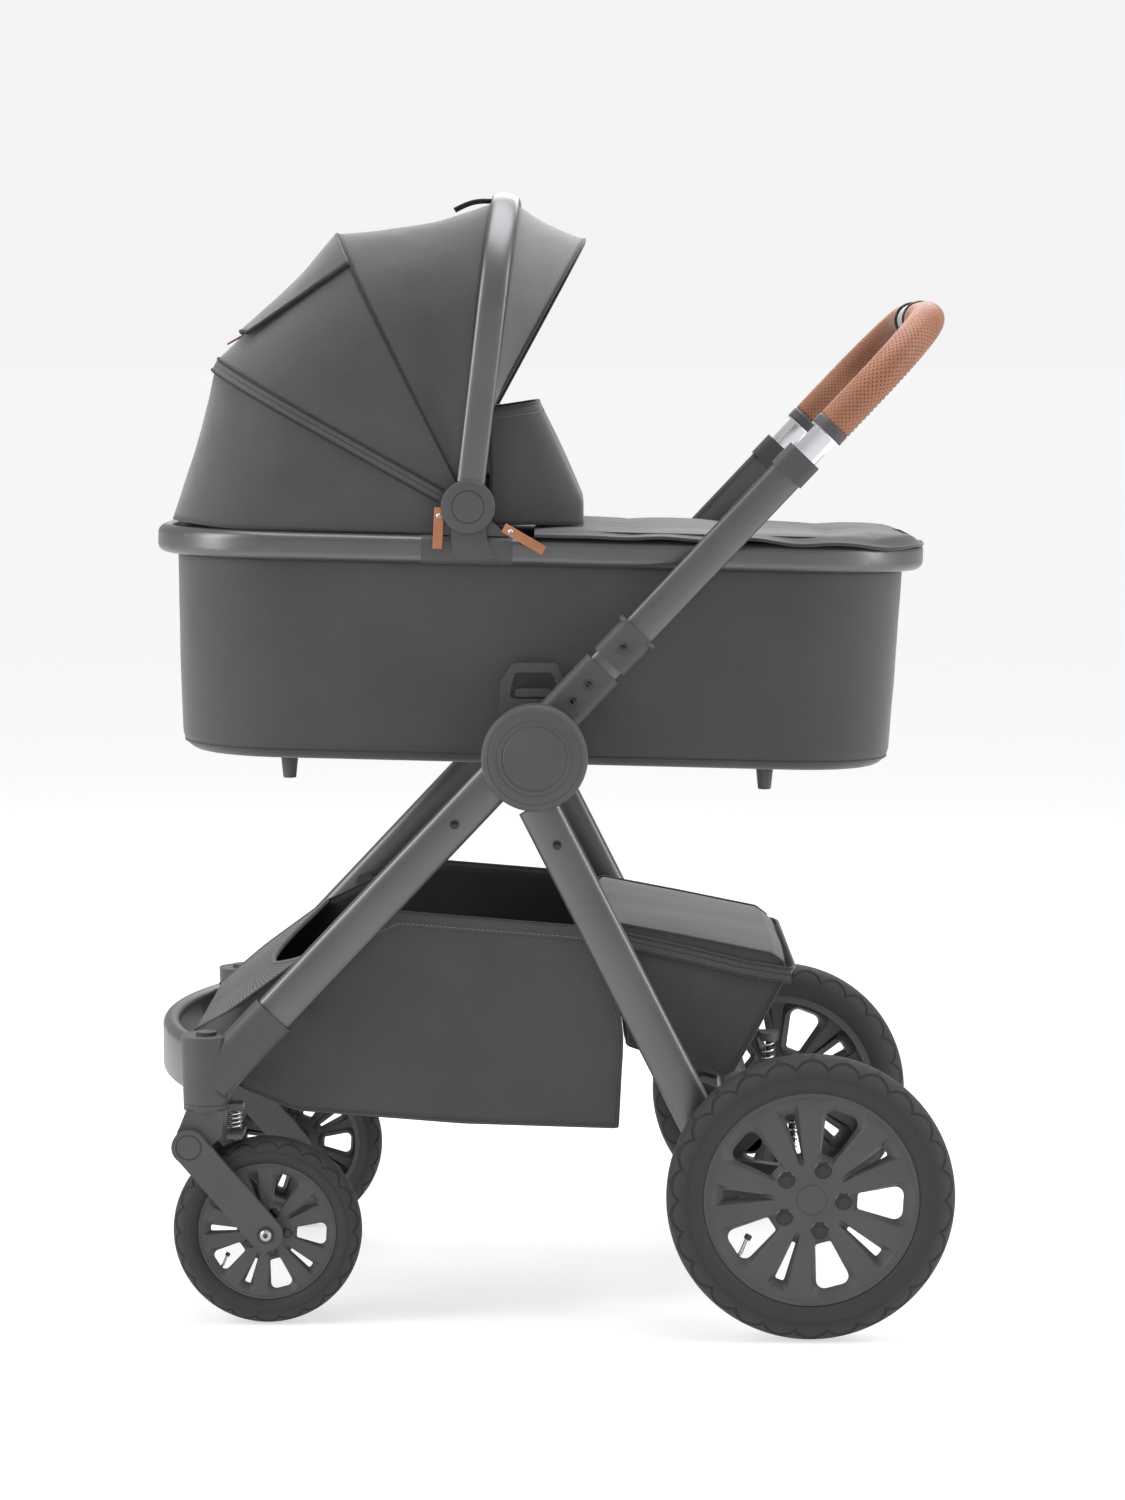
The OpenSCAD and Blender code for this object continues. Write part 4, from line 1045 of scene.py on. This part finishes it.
def inflate(piece, held, pressure, frames, cap):
    # swells a closed skin as filled cloth, sewn down where held(u, v) is high
    mesh = piece.data
    before = [v.co.copy() for v in mesh.vertices]
    group = piece.vertex_groups.new(name="sewn")
    for vert in mesh.vertices:
        group.add([vert.index], held(vert), "REPLACE")
    cloth = piece.modifiers.new("filling", "CLOTH")
    cloth.settings.quality = 4
    cloth.settings.mass = 0.2
    cloth.settings.tension_stiffness = cloth.settings.compression_stiffness = 12
    cloth.settings.vertex_group_mass = "sewn"
    cloth.settings.use_pressure = True
    cloth.settings.uniform_pressure_force = pressure
    cloth.settings.effector_weights.gravity = 0
    cloth.collision_settings.use_collision = False
    cloth.point_cache.frame_start, cloth.point_cache.frame_end = 1, frames
    for frameNumber in range(1, frames + 1):
        bpy.context.scene.frame_set(frameNumber)
    grown = piece.evaluated_get(bpy.context.evaluated_depsgraph_get()).to_mesh()
    after = [v.co.copy() for v in grown.vertices]
    piece.evaluated_get(bpy.context.evaluated_depsgraph_get()).to_mesh_clear()
    piece.modifiers.remove(cloth)
    bpy.context.scene.frame_set(1)
    for vert, a, b in zip(mesh.vertices, before, after):
        move = b - a
        vert.co = a + move * min(1.0, cap / max(move.length, 1e-9))


def makeApron():
    bm = bmesh.new()
    bmesh.ops.create_grid(bm, x_segments=apron["cells"][0], y_segments=apron["cells"][1], size=0.5)
    layer, seam = bm.loops.layers.uv.new("map"), bm.verts.layers.float.new("seam")
    for face in bm.faces:
        for loop in face.loops:
            loop[layer].uv = ((loop.vert.co.x + 0.5) * 0.40, (loop.vert.co.y + 0.5) * 0.36)
    for vert in bm.verts:
        u, v = vert.co.x + 0.5, vert.co.y + 0.5
        channel = 1 - smoothStep(abs(math.sin(math.pi * u * apron["channels"])) / 0.16)
        vert[seam] = max(channel * 0.97, 1 - smoothStep(apronBorder(u, v) / 0.06))
        vert.co = apronSpot(u, v)
    bmesh.ops.recalc_face_normals(bm, faces=bm.faces)
    bmesh.ops.solidify(bm, geom=bm.faces[:], thickness=apron["wall"])
    bmesh.ops.recalc_face_normals(bm, faces=bm.faces)
    piece = addPiece("apronQuilt", bm, "cloth", "carrycot", 60, ["apron"])
    seams = [item.value for item in piece.data.attributes["seam"].data]
    lower = [v.normal.z < 0 for v in piece.data.vertices]
    inflate(piece, lambda vert: 1.0 if lower[vert.index] else seams[vert.index], apron["pressure"],
            apron["frames"], apron["cap"])
    return piece


apronPiece = makeApron()
hemPath = [apronSpot(i / 100, 0.0) for i in range(101)] + [apronSpot(1, i / 60) for i in range(1, 60)]
hemPath += [apronSpot(1 - i / 100, 1.0) for i in range(101)]
pipe("apronHem", [p - Vector((0, 0, 1.4 * mm)) for p in hemPath], 1.7 * mm, "trim", "carrycot")


zipTape = {"reach": 0.232, "halfLength": 0.3725, "halfWidth": 0.1665, "corner": 0.118, "foot": 0.0125,
           "height": 0.0085}


def tapeSpot(u, v):
    t = zipTape["reach"] * (2 * u - 1)
    x, y = planPoint(zipTape["halfLength"], zipTape["halfWidth"], zipTape["corner"], t)
    return inCot(x, y, zipTape["foot"] + zipTape["height"] * v)


thicken(sheetGrid("apronZipTape", 200, 3, tapeSpot, "lining", "carrycot", (1.6, 0.02)), 1.2 * mm)

guard = {"half": 0.1485, "run": 0.08, "wall": 3.6 * mm, "bend": 0.18, "cornerAlong": 0.30,
         "cornerAcross": 0.14, "cells": (96, 26)}
guardFront = [Vector((0.0355, 0, 0.7845)), Vector((0.0345, 0, 0.8065)), Vector((-0.0095, 0, 0.9035))]
guardRear = [Vector((-0.0560, 0, 0.7845)), Vector((-0.0560, 0, 0.8965))]


def guardPlan():  # from the rear of one side round the front to the other, along and across
    ra, rb = guard["cornerAlong"], guard["cornerAcross"]
    path = [(0, -1), (1 - ra, -1)]
    path += [(1 - ra + ra * math.sin(a), -1 + rb - rb * math.cos(a))
             for a in (math.pi / 2 * k / 8 for k in range(1, 9))]
    path += [(a, -b) for a, b in reversed(path)]
    return resample([Vector((a * guard["run"], b * guard["half"], 0)) for a, b in path], 97)


guardLine = guardPlan()


def guardSpot(u, v):
    bend = guard["bend"]
    if v < bend:
        front = guardFront[0].lerp(guardFront[1], v / bend)
    else:
        front = guardFront[1].lerp(guardFront[2], (v - bend) / 0.82)
    rear = guardRear[0].lerp(guardRear[1], v)
    p = curveAt(guardLine, u)
    y = p.y
    point = rear.lerp(front, p.x / guard["run"])
    lean = 1 - 0.05 * v
    bulge = 0.0025 * math.sin(math.pi * v) * math.cos(math.pi * min(abs(y) / guard["half"], 1) / 2)
    uneven = 0.0008 * ripple(Vector((point.x, y, point.z)), 25, 9)
    return Vector((point.x + bulge, y * lean, point.z + uneven))


clothSheet("windGuard", guard["cells"], guardSpot, "paleCloth", "carrycot", (0.45, 0.12), "stretched",
           ["cot_rail"], guard["wall"], 0.0, ["wind_guard"])
pipe("windGuardHem", [guardSpot(i / 96, 1.0) for i in range(97)], 2.4 * mm, "trim", "carrycot")
for sign, tag in ((1, "Out"), (-1, "In")):
    line = []
    for i in range(96):
        p, q = guardSpot(i / 96, 0.93), guardSpot((i + 1) / 96, 0.93)
        line.append(p + Vector((q.y - p.y, p.x - q.x, 0)).normalized() * sign * 2.0 * mm)
    dashes("windGuardStitch" + tag, line, "thread", "carrycot")
print("apron and wind guard made")


# leather pulls of the zips
pull = {"width": 0.0095, "thick": 0.0022, "edge": 0.0009, "across": 0.1815,
        # top and bottom of each, along and up
        "Hood": ((-0.1045, 0.803), (-0.1065, 0.7625)), "Apron": ((-0.0415, 0.7835), (-0.0020, 0.7605))}


def zipPull(name, top, bottom, side, body):
    bm = bmesh.new()
    length = (bottom - top).length
    bmesh.ops.create_grid(bm, x_segments=1, y_segments=1, size=0.5)
    for vert in bm.verts:
        vert.co = (vert.co.x * pull["width"], vert.co.y * length, 0)
    grow(bm, list(bm.faces), (0, 0, pull["thick"]), pull["edge"])
    middle, d = (top + bottom) / 2, (bottom - top).normalized()
    across = Vector((d.z, 0, -d.x))
    out = Vector((0, side, 0))
    for vert in bm.verts:
        x, y, z = vert.co
        vert.co = middle + across * x + d * y + out * z
    bmesh.ops.recalc_face_normals(bm, faces=bm.faces)
    addPiece(name, bm, "strap", body, 40)
    eye = top + d * 0.008
    lathe(name + "Eye", [(0, 2.5), (1.5, 2.9), (2.3, 2.3)], (eye.x, abs(eye.y), eye.z), side, "steel",
          body, 20)


for letter, side in sides.items():
    for tag in ("Hood", "Apron"):
        top, bottom = (Vector((x, side * pull["across"], z)) for x, z in pull[tag])
        zipPull(f"zipPull{tag}{letter.upper()}", top, bottom, side, "carrycot")

# basket between the legs
basket = {"halfWidth": 0.2030, "wall": 1.8 * mm, "front": -0.3505, "rear": 0.0712, "mouth": 0.28}
basketTop = [(-341, -286), (-229, -204), (-134, -158), (36, -172), (60, -175)]
basketLow = [(-341, -286), (-288, -333), (-236, -355), (-72, -368), (82, -373)]
topLine = resample([hub + Vector((a, 0, b)) * mm for a, b in basketTop], 121)
lowLine = resample([hub + Vector((a, 0, b)) * mm for a, b in basketLow], 121)


def basketHalf(x):  # narrower beside the casters
    return basket["halfWidth"] - 0.090 * smoothStep((-0.300 - x) / 0.060) * 0.72


def heightAt(line, x):  # z of a line that runs along x
    for p, q in zip(line, line[1:]):
        if p.x <= x <= q.x:
            return p.z + (q.z - p.z) * (x - p.x) / max(q.x - p.x, 1e-9)
    return line[-1].z if x > line[-1].x else line[0].z


def basketSide(side):
    def spot(u, v):
        rear = basket["rear"] + 0.0048 * smoothStep(v / 0.45) - 0.0268 * smoothStep((v - 0.45) / 0.55)
        x = basket["front"] + (rear - basket["front"]) * u
        low, high = heightAt(lowLine, min(x, 0.071)), heightAt(topLine, min(x, 0.049))
        z = low + (high - low) * v
        point = Vector((x, side * basketHalf(x), z))
        swell = math.sin(math.pi * u) * math.sin(math.pi * v)
        fold = 0.0032 * ripple(point, 9, 2) + 0.0012 * ripple(point, 28, 6)
        crease = 0.004 * math.exp(-((u - 0.16) * 14 - (v - 0.3) * 4) ** 2)
        crease *= smoothStep(v * 4) * smoothStep((1 - v) * 3)
        point.y += side * (-0.0035 * swell + fold * swell - crease)
        return point
    return spot


for letter, side in sides.items():
    tag, wallSpot = letter.upper(), basketSide(side)

    def liningSpot(u, v):
        return wallSpot(0.02 + 0.96 * u, 0.01 + 0.97 * v) - Vector((0, side * 2.2 * mm, 0))

    def wallLine(along, up, out, steps=90):  # a line on the wall; along and up are from and to
        return [wallSpot(along[0] + (along[1] - along[0]) * i / steps, up[0] + (up[1] - up[0]) * i / steps)
                + Vector((0, side * out * mm, 0)) for i in range(steps + 1)]

    def hemBand(u, v):
        p = wallSpot(basket["mouth"] + (1 - basket["mouth"]) * u, 1.0 - 0.062 * v)
        return p + Vector((0, side * 1.5 * mm, 0))

    clothSheet("basketSide" + tag, (110, 50), wallSpot, "cloth", "chassis", (0.42, 0.2), "hung",
               ["front_leg_" + letter], basket["wall"])
    clothSheet("basketLining" + tag, (80, 30), liningSpot, "lining", "chassis", (0.42, 0.2), "hung",
               ["basketSide" + tag], 0.8 * mm)
    pipe("basketHem" + tag, wallLine((basket["mouth"], 1), (1, 1), 0), 1.6 * mm, "trim", "chassis")
    hem = sheetGrid("basketHemBand" + tag, 90, 4, hemBand, "cloth", "chassis", (0.33, 0.012))
    thicken(hem, 0.8 * mm, 0.0)
    dashes("basketStitch" + tag, wallLine((basket["mouth"], 1), (0.949, 0.949), 2.4), "thread", "chassis",
           3.0 * mm, 1.6 * mm, 0.35 * mm)
    pipe("basketLowCord" + tag, wallLine((0.006, 0.994), (0.012, 0.012), 0.8), 1.7 * mm, "trim", "chassis")
    pipe("basketRearCord" + tag, wallLine((0.992, 0.992), (0, 1), 0.6, 30), 1.5 * mm, "trim", "chassis")

belt = [hub + Vector((a, 0, b)) * mm for a, b in
        [(-229, -204), (-341, -286), (-288, -333), (-236, -355), (-72, -368), (82, -373), (86.5, -283),
         (60, -175)]]
beltLine = resample(belt, 161)
split = (belt[1] - belt[0]).length / pathLength(belt)  # where the front net ends and the floor starts


def beltSpot(u, v, a=0.0, b=1.0):  # along the belt between the shares a and b, across
    t = a + (b - a) * u
    p = curveAt(beltLine, t)
    y = (2 * v - 1) * basketHalf(p.x)
    if t < split:  # the net's upper edge dips at the middle
        q = 1 - t / split
        dip = q * q * math.cos(math.pi * min(abs(y) / 0.2, 1) / 2)
        p = p + (belt[1] - belt[0]).normalized() * 0.052 * dip
    sag = 0.0025 * ripple(Vector((p.x, y, p.z)), 12, 8) * math.sin(math.pi * v)
    return Vector((p.x, y, p.z + sag))


clothSheet("basketMeshFront", (40, 80), lambda u, v: beltSpot(u, v, 0.0, split), "net", "chassis",
           (0.14, 0.41), "stretched", ["front_bumper"], 1.4 * mm)
clothSheet("basketBelt", (110, 60), lambda u, v: beltSpot(u, v, split, 1.0), "cloth", "chassis",
           (0.6, 0.41), "hung", ["basketSideL", "basketSideR"], 1.6 * mm, 0.0, ["basket"])
pipe("basketCutEdge", [beltSpot(0, i / 80, 0.0, split) for i in range(81)], 2.6 * mm, "trim", "chassis")
pipe("basketMouthRear", [beltSpot(1, i / 60, split, 1.0) for i in range(61)], 1.8 * mm, "trim", "chassis")
tabs = {"along": (262, 340), "root": 0.010, "tip": 0.0094, "height": 0.0084, "across": 0.2072}
for letter, side in sides.items():
    slope = [Vector((0, side * basketHalf(p.x), 0)) + p for p in resample([belt[0], belt[1]], 40)]
    pipe("basketFrontCord" + letter.upper(), slope, 1.8 * mm, "trim", "chassis")
    bm = bmesh.new()
    for s in tabs["along"]:
        spot = onLeg("front", s * mm, 0, 0)
        made = bmesh.ops.create_cone(bm, cap_ends=True, segments=32, radius1=tabs["root"],
                                     radius2=tabs["tip"], depth=tabs["height"])["verts"]
        for vert in made:
            a, b, c = vert.co
            vert.co = (spot.x + a, side * (tabs["across"] + c), spot.z + b)
    bmesh.ops.recalc_face_normals(bm, faces=bm.faces)
    addPiece("basketTabs" + letter.upper(), bm, "plastic", "chassis", 30)
print("basket made")

# bag behind the basket
bag = {"half": 0.1665, "wall": 1.2 * mm, "puff": 0.0035, "sideShare": 0.955, "cordShare": 0.962}
bagOutline = [hub + Vector((a, 0, b)) * mm for a, b in
              [(62.5, -176), (66, -169), (150, -185), (238, -203), (250, -212), (252.5, -225), (226, -276),
               (199, -325), (189, -331), (93, -299.5), (88.5, -297), (88.5, -283), (75, -228)]]
bagLine = resample(bagOutline + [bagOutline[0]], 181)
bagMiddle = hub + Vector((150, 0, -250)) * mm


def bagSpot(u, v):  # round the outline, across
    p = curveAt(bagLine, u)
    w = 2 * v - 1
    pinch = 1 - 0.045 * abs(w) ** 6
    flat = bagMiddle + (p - bagMiddle) * pinch
    sag = 0.0020 * ripple(Vector((flat.x, w * 0.17, flat.z)), 11, 11)
    return Vector((flat.x + sag * 0.4, w * bag["half"], flat.z + sag * math.cos(math.pi * w / 2)))


clothSheet("bagShell", (180, 60), bagSpot, "cloth", "chassis", (0.62, 0.34), "stretched", ["basket"],
           bag["wall"], -1.0, ["rear_bag"])
for letter, side in sides.items():
    def bagSide(u, v):  # round the outline, from its edge in to the middle
        edge = bagMiddle + (curveAt(bagLine, u) - bagMiddle) * bag["sideShare"]
        point = bagMiddle + (edge - bagMiddle) * v
        puff = bag["puff"] * (1 - v ** 3) + 0.0012 * ripple(Vector((point.x, side, point.z)), 14, 3)
        return Vector((point.x, side * (bag["half"] + min(puff, 0.0045) * (1 - v ** 4)), point.z))

    panel = sheetGrid("bagSide" + letter.upper(), 180, 24, bagSide, "cloth", "chassis", (0.5, 0.2))
    corner = Vector((0, side * bag["half"], 0))
    cordPath = [bagMiddle + (curveAt(bagLine, i / 180) - bagMiddle) * bag["cordShare"] + corner
                for i in range(180)]
    pipe("bagCord" + letter.upper(), cordPath, 1.5 * mm, "trim", "chassis", True)
# zip band along the side and round the back
bandTop = [hub + Vector((a, 0, b)) * mm for a, b in [(70, -187), (150, -205), (206, -219), (250.5, -226)]]
bagBand = {"proud": 0.0046, "rear": 0.2415, "width": 0.013, "lean": 0.45}


def bandSpot(u, v):
    half = bag["half"] + bagBand["proud"]
    start, end = bandTop[0].x, bagBand["rear"]
    run = end - start
    d = u * (2 * run + 2 * half)
    if d < run:
        x, y = start + d, -half
    elif d < run + 2 * half:
        x, y = end, -half + (d - run)
    else:
        x, y = end - (d - run - 2 * half), half
    level = heightAt(bandTop, x)
    z = level - bagBand["width"] / 2 + bagBand["width"] * (1 - v)
    lean, corner = 0.0, 0.0
    if run <= d <= run + 2 * half:  # across the back
        lean = (z - level) * bagBand["lean"]
        corner = 0.010 * smoothStep(1 - abs(abs(y) - half) / 0.02)
    return Vector((x + lean + 0.0025 - corner * 0.35, y, z))


thicken(sheetGrid("bagZipBand", 200, 6, bandSpot, "tape", "chassis", (0.7, 1.0)), 1.6 * mm, 0.0)
for tag, v in (("Upper", 0.0), ("Lower", 1.0)):
    pipe("bagZipCord" + tag, [bandSpot(i / 200, v) for i in range(201)], 1.7 * mm, "trim", "chassis")
for letter, side in sides.items():
    strapPath = []
    for a in (i / 8 for i in range(17)):
        across = Vector((0, side * (0.170 + 0.003 * math.sin(2 * a)), 0))
        p = hub + Vector((60 + 6 * math.sin(a) - 8, 0, -186 - 16 * a)) * mm + across
        strapPath.append(Vector((p.x + 0.014, p.y, p.z + 0.012)))
    pipe("bagStrap" + letter.upper(), strapPath, 2.6 * mm, "trim", "chassis")
print("bag made")


# hub covers, snaps and axle nuts
hubProfile = [(0, 14.6), (20, 14.5), (29.5, 14.2), (30.6, 13.4), (31.4, 13.4), (32.2, 14.0), (35.2, 13.8),
              (36.2, 13.2), (37.2, 13.7), (43.6, 13.1), (44.6, 12.4), (45.6, 12.7), (48.5, 11.8),
              (50.6, 10.2), (51.6, 7.6), (51.6, 0.2), (40, 0.2)]
for letter, side in sides.items():
    lathe("hubCover" + letter.upper(), hubProfile, (hub.x, 0.2544, hub.z), side, "plastic", "chassis", 96,
          ["hub_covers"] if side < 0 else ())


def snap(name, spot, side, body, radius=4.4, rimRadius=6.2):
    centre = (spot.x, abs(spot.y), spot.z)
    lathe(name + "Rim", [(rimRadius, -0.1), (rimRadius, 0.7), (rimRadius - 0.8, 1.1), (radius, 0.8)], centre,
          side, "plastic", body, 28)
    lathe(name, [(radius, 0.3), (radius * 0.9, 1.6), (radius * 0.6, 2.4), (0, 2.8)], centre, side, "gloss",
          body, 28)


armFace, frontLegFace, rearLegFace, forkFace = 0.2098, 0.2318, 0.2538, 0.213 + 0.029  # outer faces, across
forkParts = {  # centre along and up, then each part's profile, finish and steps
    "axle": ((wheels["front"]["centre"][0], wheels["front"]["centre"][2]), {
        "Washer": ([(0, 0.3), (8.6, 0.3), (8.6, -0.4)], "darkPlastic", 32),
        "Nut": ([(5.6, 0.2), (5.4, 2.6), (4.2, 3.6), (2.4, 3.8), (2.2, 2.4), (0, 2.4)], "steel", 32)}),
    "swing": ((-0.3496, 0.180), {
        "Ring": ([(11.6, -0.2), (11.9, 0.35), (12.6, 0.35), (12.9, -0.2)], "darkPlastic", 48),
        "Cap": ([(0, 0.5), (10.6, 0.5), (11.3, -0.1)], "plastic", 48)})}
for letter, side in sides.items():
    tag = letter.upper()
    snap("socketSnapA" + tag, onArm(0.063, 0, side * armFace), side, "handle")
    snap("socketSnapB" + tag, onArm(0.085, 0, side * armFace), side, "handle")
    snap("collarSnap" + tag, onArm(0.134, 0, side * armFace), side, "handle", 4.8, 6.6)
    snap("frontLegRivet" + tag, onLeg("front", 0.103, 0, side * frontLegFace), side, "chassis", 4.4, 5.0)
    snap("rearLegRivet" + tag, onLeg("rear", 0.086, 0, side * rearLegFace), side, "rear_frame", 4.4, 5.0)
    for joint, ((x, z), parts) in forkParts.items():
        for part, (profile, finish, steps) in parts.items():
            lathe(joint + part + tag, profile, (x, forkFace, z), side, finish, "fork_" + letter, steps)

# oval tubes of the legs and the handle
tubes = {"frontLeg": {"from": 0.040, "to": 0.395, "width": 0.040, "thick": 0.020, "across": 0.222},
         "rearLeg": {"from": 0.044, "to": 0.418, "width": 0.040, "thick": 0.020, "across": 0.244},
         "armTube": {"from": 0.060, "to": 0.366, "width": 0.034, "thick": 0.016, "across": 0.200}}
knuckle = [(0, -9.8), (36, -9.8), (37.2, -8.6), (37.2, 8.6), (36, 9.8), (0, 9.8)]


def placedTube(kind, letter, spotAt, body, replaced):
    t = tubes[kind]
    ovalTube(kind + letter.upper(), spotAt, t["from"], t["to"], t["width"], t["thick"],
             sides[letter] * t["across"], "tube", body, replaced)


for letter, side in sides.items():
    placedTube("frontLeg", letter, lambda *at: onLeg("front", *at), "chassis", ["front_leg_" + letter])
    placedTube("rearLeg", letter, lambda *at: onLeg("rear", *at), "rear_frame", ["rear_leg_" + letter])
    lathe("rearKnuckle" + letter.upper(), knuckle, (hub.x, tubes["rearLeg"]["across"], hub.z), side,
          "plastic", "rear_frame", 72)
    placedTube("armTube", letter, onArm, "handle", ["arm_tubes"] if side < 0 else ())

# springs and shock absorbers
springs = {  # keep is the share of its length at the joint's limit
    "forkSpring": {"x": -0.3068, "across": 0.213, "low": 0.1918, "high": 0.2132, "radius": 0.0062,
                   "turns": 4.5, "steps": 90, "inset": 0.0012, "wire": 1.05 * mm, "keep": 0.58,
                   "joint": "front_suspension_"},
    "shockSpring": {"x": 0.2418, "across": 0.2146, "low": 0.1582, "high": 0.2048, "radius": 0.0058,
                    "turns": 6, "steps": 120, "inset": 0.0015, "wire": 1.1 * mm, "keep": 0.79,
                    "joint": "rear_suspension_"}}


def squashed(piece):
    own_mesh(piece)


def spring(kind, letter, body, replaced):
    w = springs[kind]
    x, y, run = w["x"], sides[letter] * w["across"], w["high"] - w["low"] - 2 * w["inset"]
    coil = []
    for i in range(w["steps"] + 1):
        a = 2 * math.pi * w["turns"] * i / w["steps"]
        coil.append(Vector((x + w["radius"] * math.cos(a), y + w["radius"] * math.sin(a),
                            w["low"] + w["inset"] + run * i / w["steps"])))
    squashed(pipe(kind + letter.upper(), coil, w["wire"], "chrome", body, replaced=[replaced]))


for letter, side in sides.items():
    spring("forkSpring", letter, "caster_" + letter, "spring_" + letter)
    spring("shockSpring", letter, "rear_frame", "shock_" + letter)
    shock = springs["shockSpring"]
    rodPath = [Vector((shock["x"], side * shock["across"], z))
               for z in (shock["low"], (shock["low"] + shock["high"]) / 2, shock["high"])]
    squashed(pipe("shockRod" + letter.upper(), rodPath, 3.4 * mm, "darkPlastic", "rear_frame"))

# leather handle, its rings and collars
grip = {"start": 0.430, "reach": 0.573, "half": 0.200, "bend": 0.095, "radius": 0.0174, "centre": 0.046,
        "rings": (0.0455, 0.0415), "ringRadius": 0.0176}
collar = {"start": 0.4185, "length": 0.013, "radius": 0.0178, "endRadius": 0.0168}


def gripPath(side):  # along the arm and across, from the collar round the bend to the centre piece
    bend, s, y = grip["bend"], grip["reach"] - grip["bend"], grip["half"] - grip["bend"]
    line = [(grip["start"], grip["half"]), (s, grip["half"])]
    line += [(s + bend * math.sin(a), y + bend * math.cos(a))
             for a in (math.pi / 2 * k / 28 for k in range(1, 29))]
    line.append((grip["reach"], grip["centre"]))
    return [Vector((s, side * y, 0)) for s, y in line]


def gripPiece(name, side):
    path = resample(gripPath(side), 121)
    length = pathLength(path)

    def spot(u, v):
        p = curveAt(path, u)
        ahead, behind = curveAt(path, min(u + 0.006, 1)), curveAt(path, max(u - 0.006, 0))
        d = (ahead - behind).normalized()
        n = Vector((d.y, -d.x, 0))
        a = 2 * math.pi * v
        r = grip["radius"] * (1 - 0.10 * (1 - smoothStep(min(u, 1 - u) * 90)))
        return onArm(p.x + n.x * r * math.cos(a), r * math.sin(a), p.y + n.y * r * math.cos(a))

    made = sheetGrid(name, 160, 40, spot, "leather", "slider", (length, 2 * math.pi * grip["radius"]), True)
    seam = [spot(0.01 + 0.98 * i / 120, 0.75) for i in range(121)]
    under = [p + (onArm(0, -1, 0) - onArm(0, 0, 0)) * 0.2 * mm for p in seam]
    dashes(name + "Stitch", under, "thread", "slider", 3.2 * mm, 2.2 * mm, 0.5 * mm)
    return made


for letter, side in sides.items():
    tag = letter.upper()
    made = gripPiece("leatherGrip" + tag, side)
    if side < 0:
        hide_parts("grip_leather")
    for y in grip["rings"]:
        r = grip["ringRadius"]
        ring = [onArm(grip["reach"] + r * math.cos(a), r * math.sin(a), side * y)
                for a in (2 * math.pi * i / 48 for i in range(48))]
        pipe(f"gripRing{tag}{int(y * 10000)}", ring, 1.5 * mm, "gloss", "slider", True)

    def collarSpot(u, v):
        a = 2 * math.pi * u
        r = collar["radius"] if 0.02 < v < 0.98 else collar["endRadius"]
        return onArm(collar["start"] + collar["length"] * v, r * math.sin(a),
                     side * grip["half"] + r * math.cos(a))

    sheetGrid("gripCollar" + tag, 48, 8, collarSpot, "plastic", "slider", (0.1, 0.1), True)
print("handle made")

# camera, floor, world and lights
view = {"lens": 92.14, "sensor": 36.0, "place": (0.016, -3.9366, 0.9469), "tilt": 84.19}
camera = bpy.data.cameras.new("camera")
camera.lens, camera.sensor_width = view["lens"], view["sensor"]
cameraObject = bpy.data.objects.new("camera", camera)
bpy.context.scene.collection.objects.link(cameraObject)
cameraObject.location = view["place"]
cameraObject.rotation_euler = (math.radians(view["tilt"]), 0, 0)
bpy.context.scene.camera = cameraObject

studio = {"floorSize": 400, "floorDrop": 0.0005, "floorGlow": 0.61, "softLight": 0.58, "backdrop": 0.90}
floorPaper = Finish("floorPaper", Roughness=0.9, Emission_Strength=studio["floorGlow"])
floorPaper.colour((0.5, 0.5, 0.5, 1))
floorPaper.shader.inputs["Emission Color"].default_value = (1, 1, 1, 1)
bm = bmesh.new()
bmesh.ops.create_grid(bm, x_segments=1, y_segments=1, size=1.0)
for vert in bm.verts:
    vert.co = (vert.co.x * studio["floorSize"], vert.co.y * studio["floorSize"], -studio["floorDrop"])
floorMesh = bpy.data.meshes.new("floor")
bm.to_mesh(floorMesh)
bm.free()
floorMesh.materials.append(floorPaper.material)
floorObject = bpy.data.objects.new("floor", floorMesh)
bpy.context.scene.collection.objects.link(floorObject)

# soft light from all round, and a brighter backdrop where the camera looks past the object
world = bpy.data.worlds.new("studio")
world.use_nodes = True
tree = world.node_tree
soft, seen = tree.nodes["Background"], tree.nodes.new("ShaderNodeBackground")
for background, strength in ((soft, studio["softLight"]), (seen, studio["backdrop"])):
    background.inputs["Color"].default_value = (1, 1, 1, 1)
    background.inputs["Strength"].default_value = strength
ray, both = tree.nodes.new("ShaderNodeLightPath"), tree.nodes.new("ShaderNodeMixShader")
tree.links.new(ray.outputs["Is Camera Ray"], both.inputs[0])
tree.links.new(soft.outputs[0], both.inputs[1])
tree.links.new(seen.outputs[0], both.inputs[2])
tree.links.new(both.outputs[0], tree.nodes["World Output"].inputs["Surface"])
bpy.context.scene.world = world
bpy.context.scene.view_settings.view_transform = "Standard"


def softLight(name, place, target, size, power):
    light = bpy.data.lights.new(name, "AREA")
    light.shape, light.energy = "RECTANGLE", power
    light.size, light.size_y = size
    made = bpy.data.objects.new(name, light)
    bpy.context.scene.collection.objects.link(made)
    made.location = place
    made.rotation_euler = (Vector(target) - Vector(place)).to_track_quat("-Z", "Y").to_euler()


softLight("overhead", (0.1, 0.2, 3.0), (0, 0, 0.5), (2.2, 2.2), 70)
softLight("leftSide", (-2.4, -0.9, 1.6), (0, 0, 0.6), (0.8, 2.2), 40)
softLight("rightSide", (2.6, -0.7, 1.5), (0, 0, 0.6), (0.7, 2.2), 32)
softLight("behind", (0.4, 2.6, 2.4), (0, 0, 0.5), (2.4, 1.0), 40)
print("stage made")
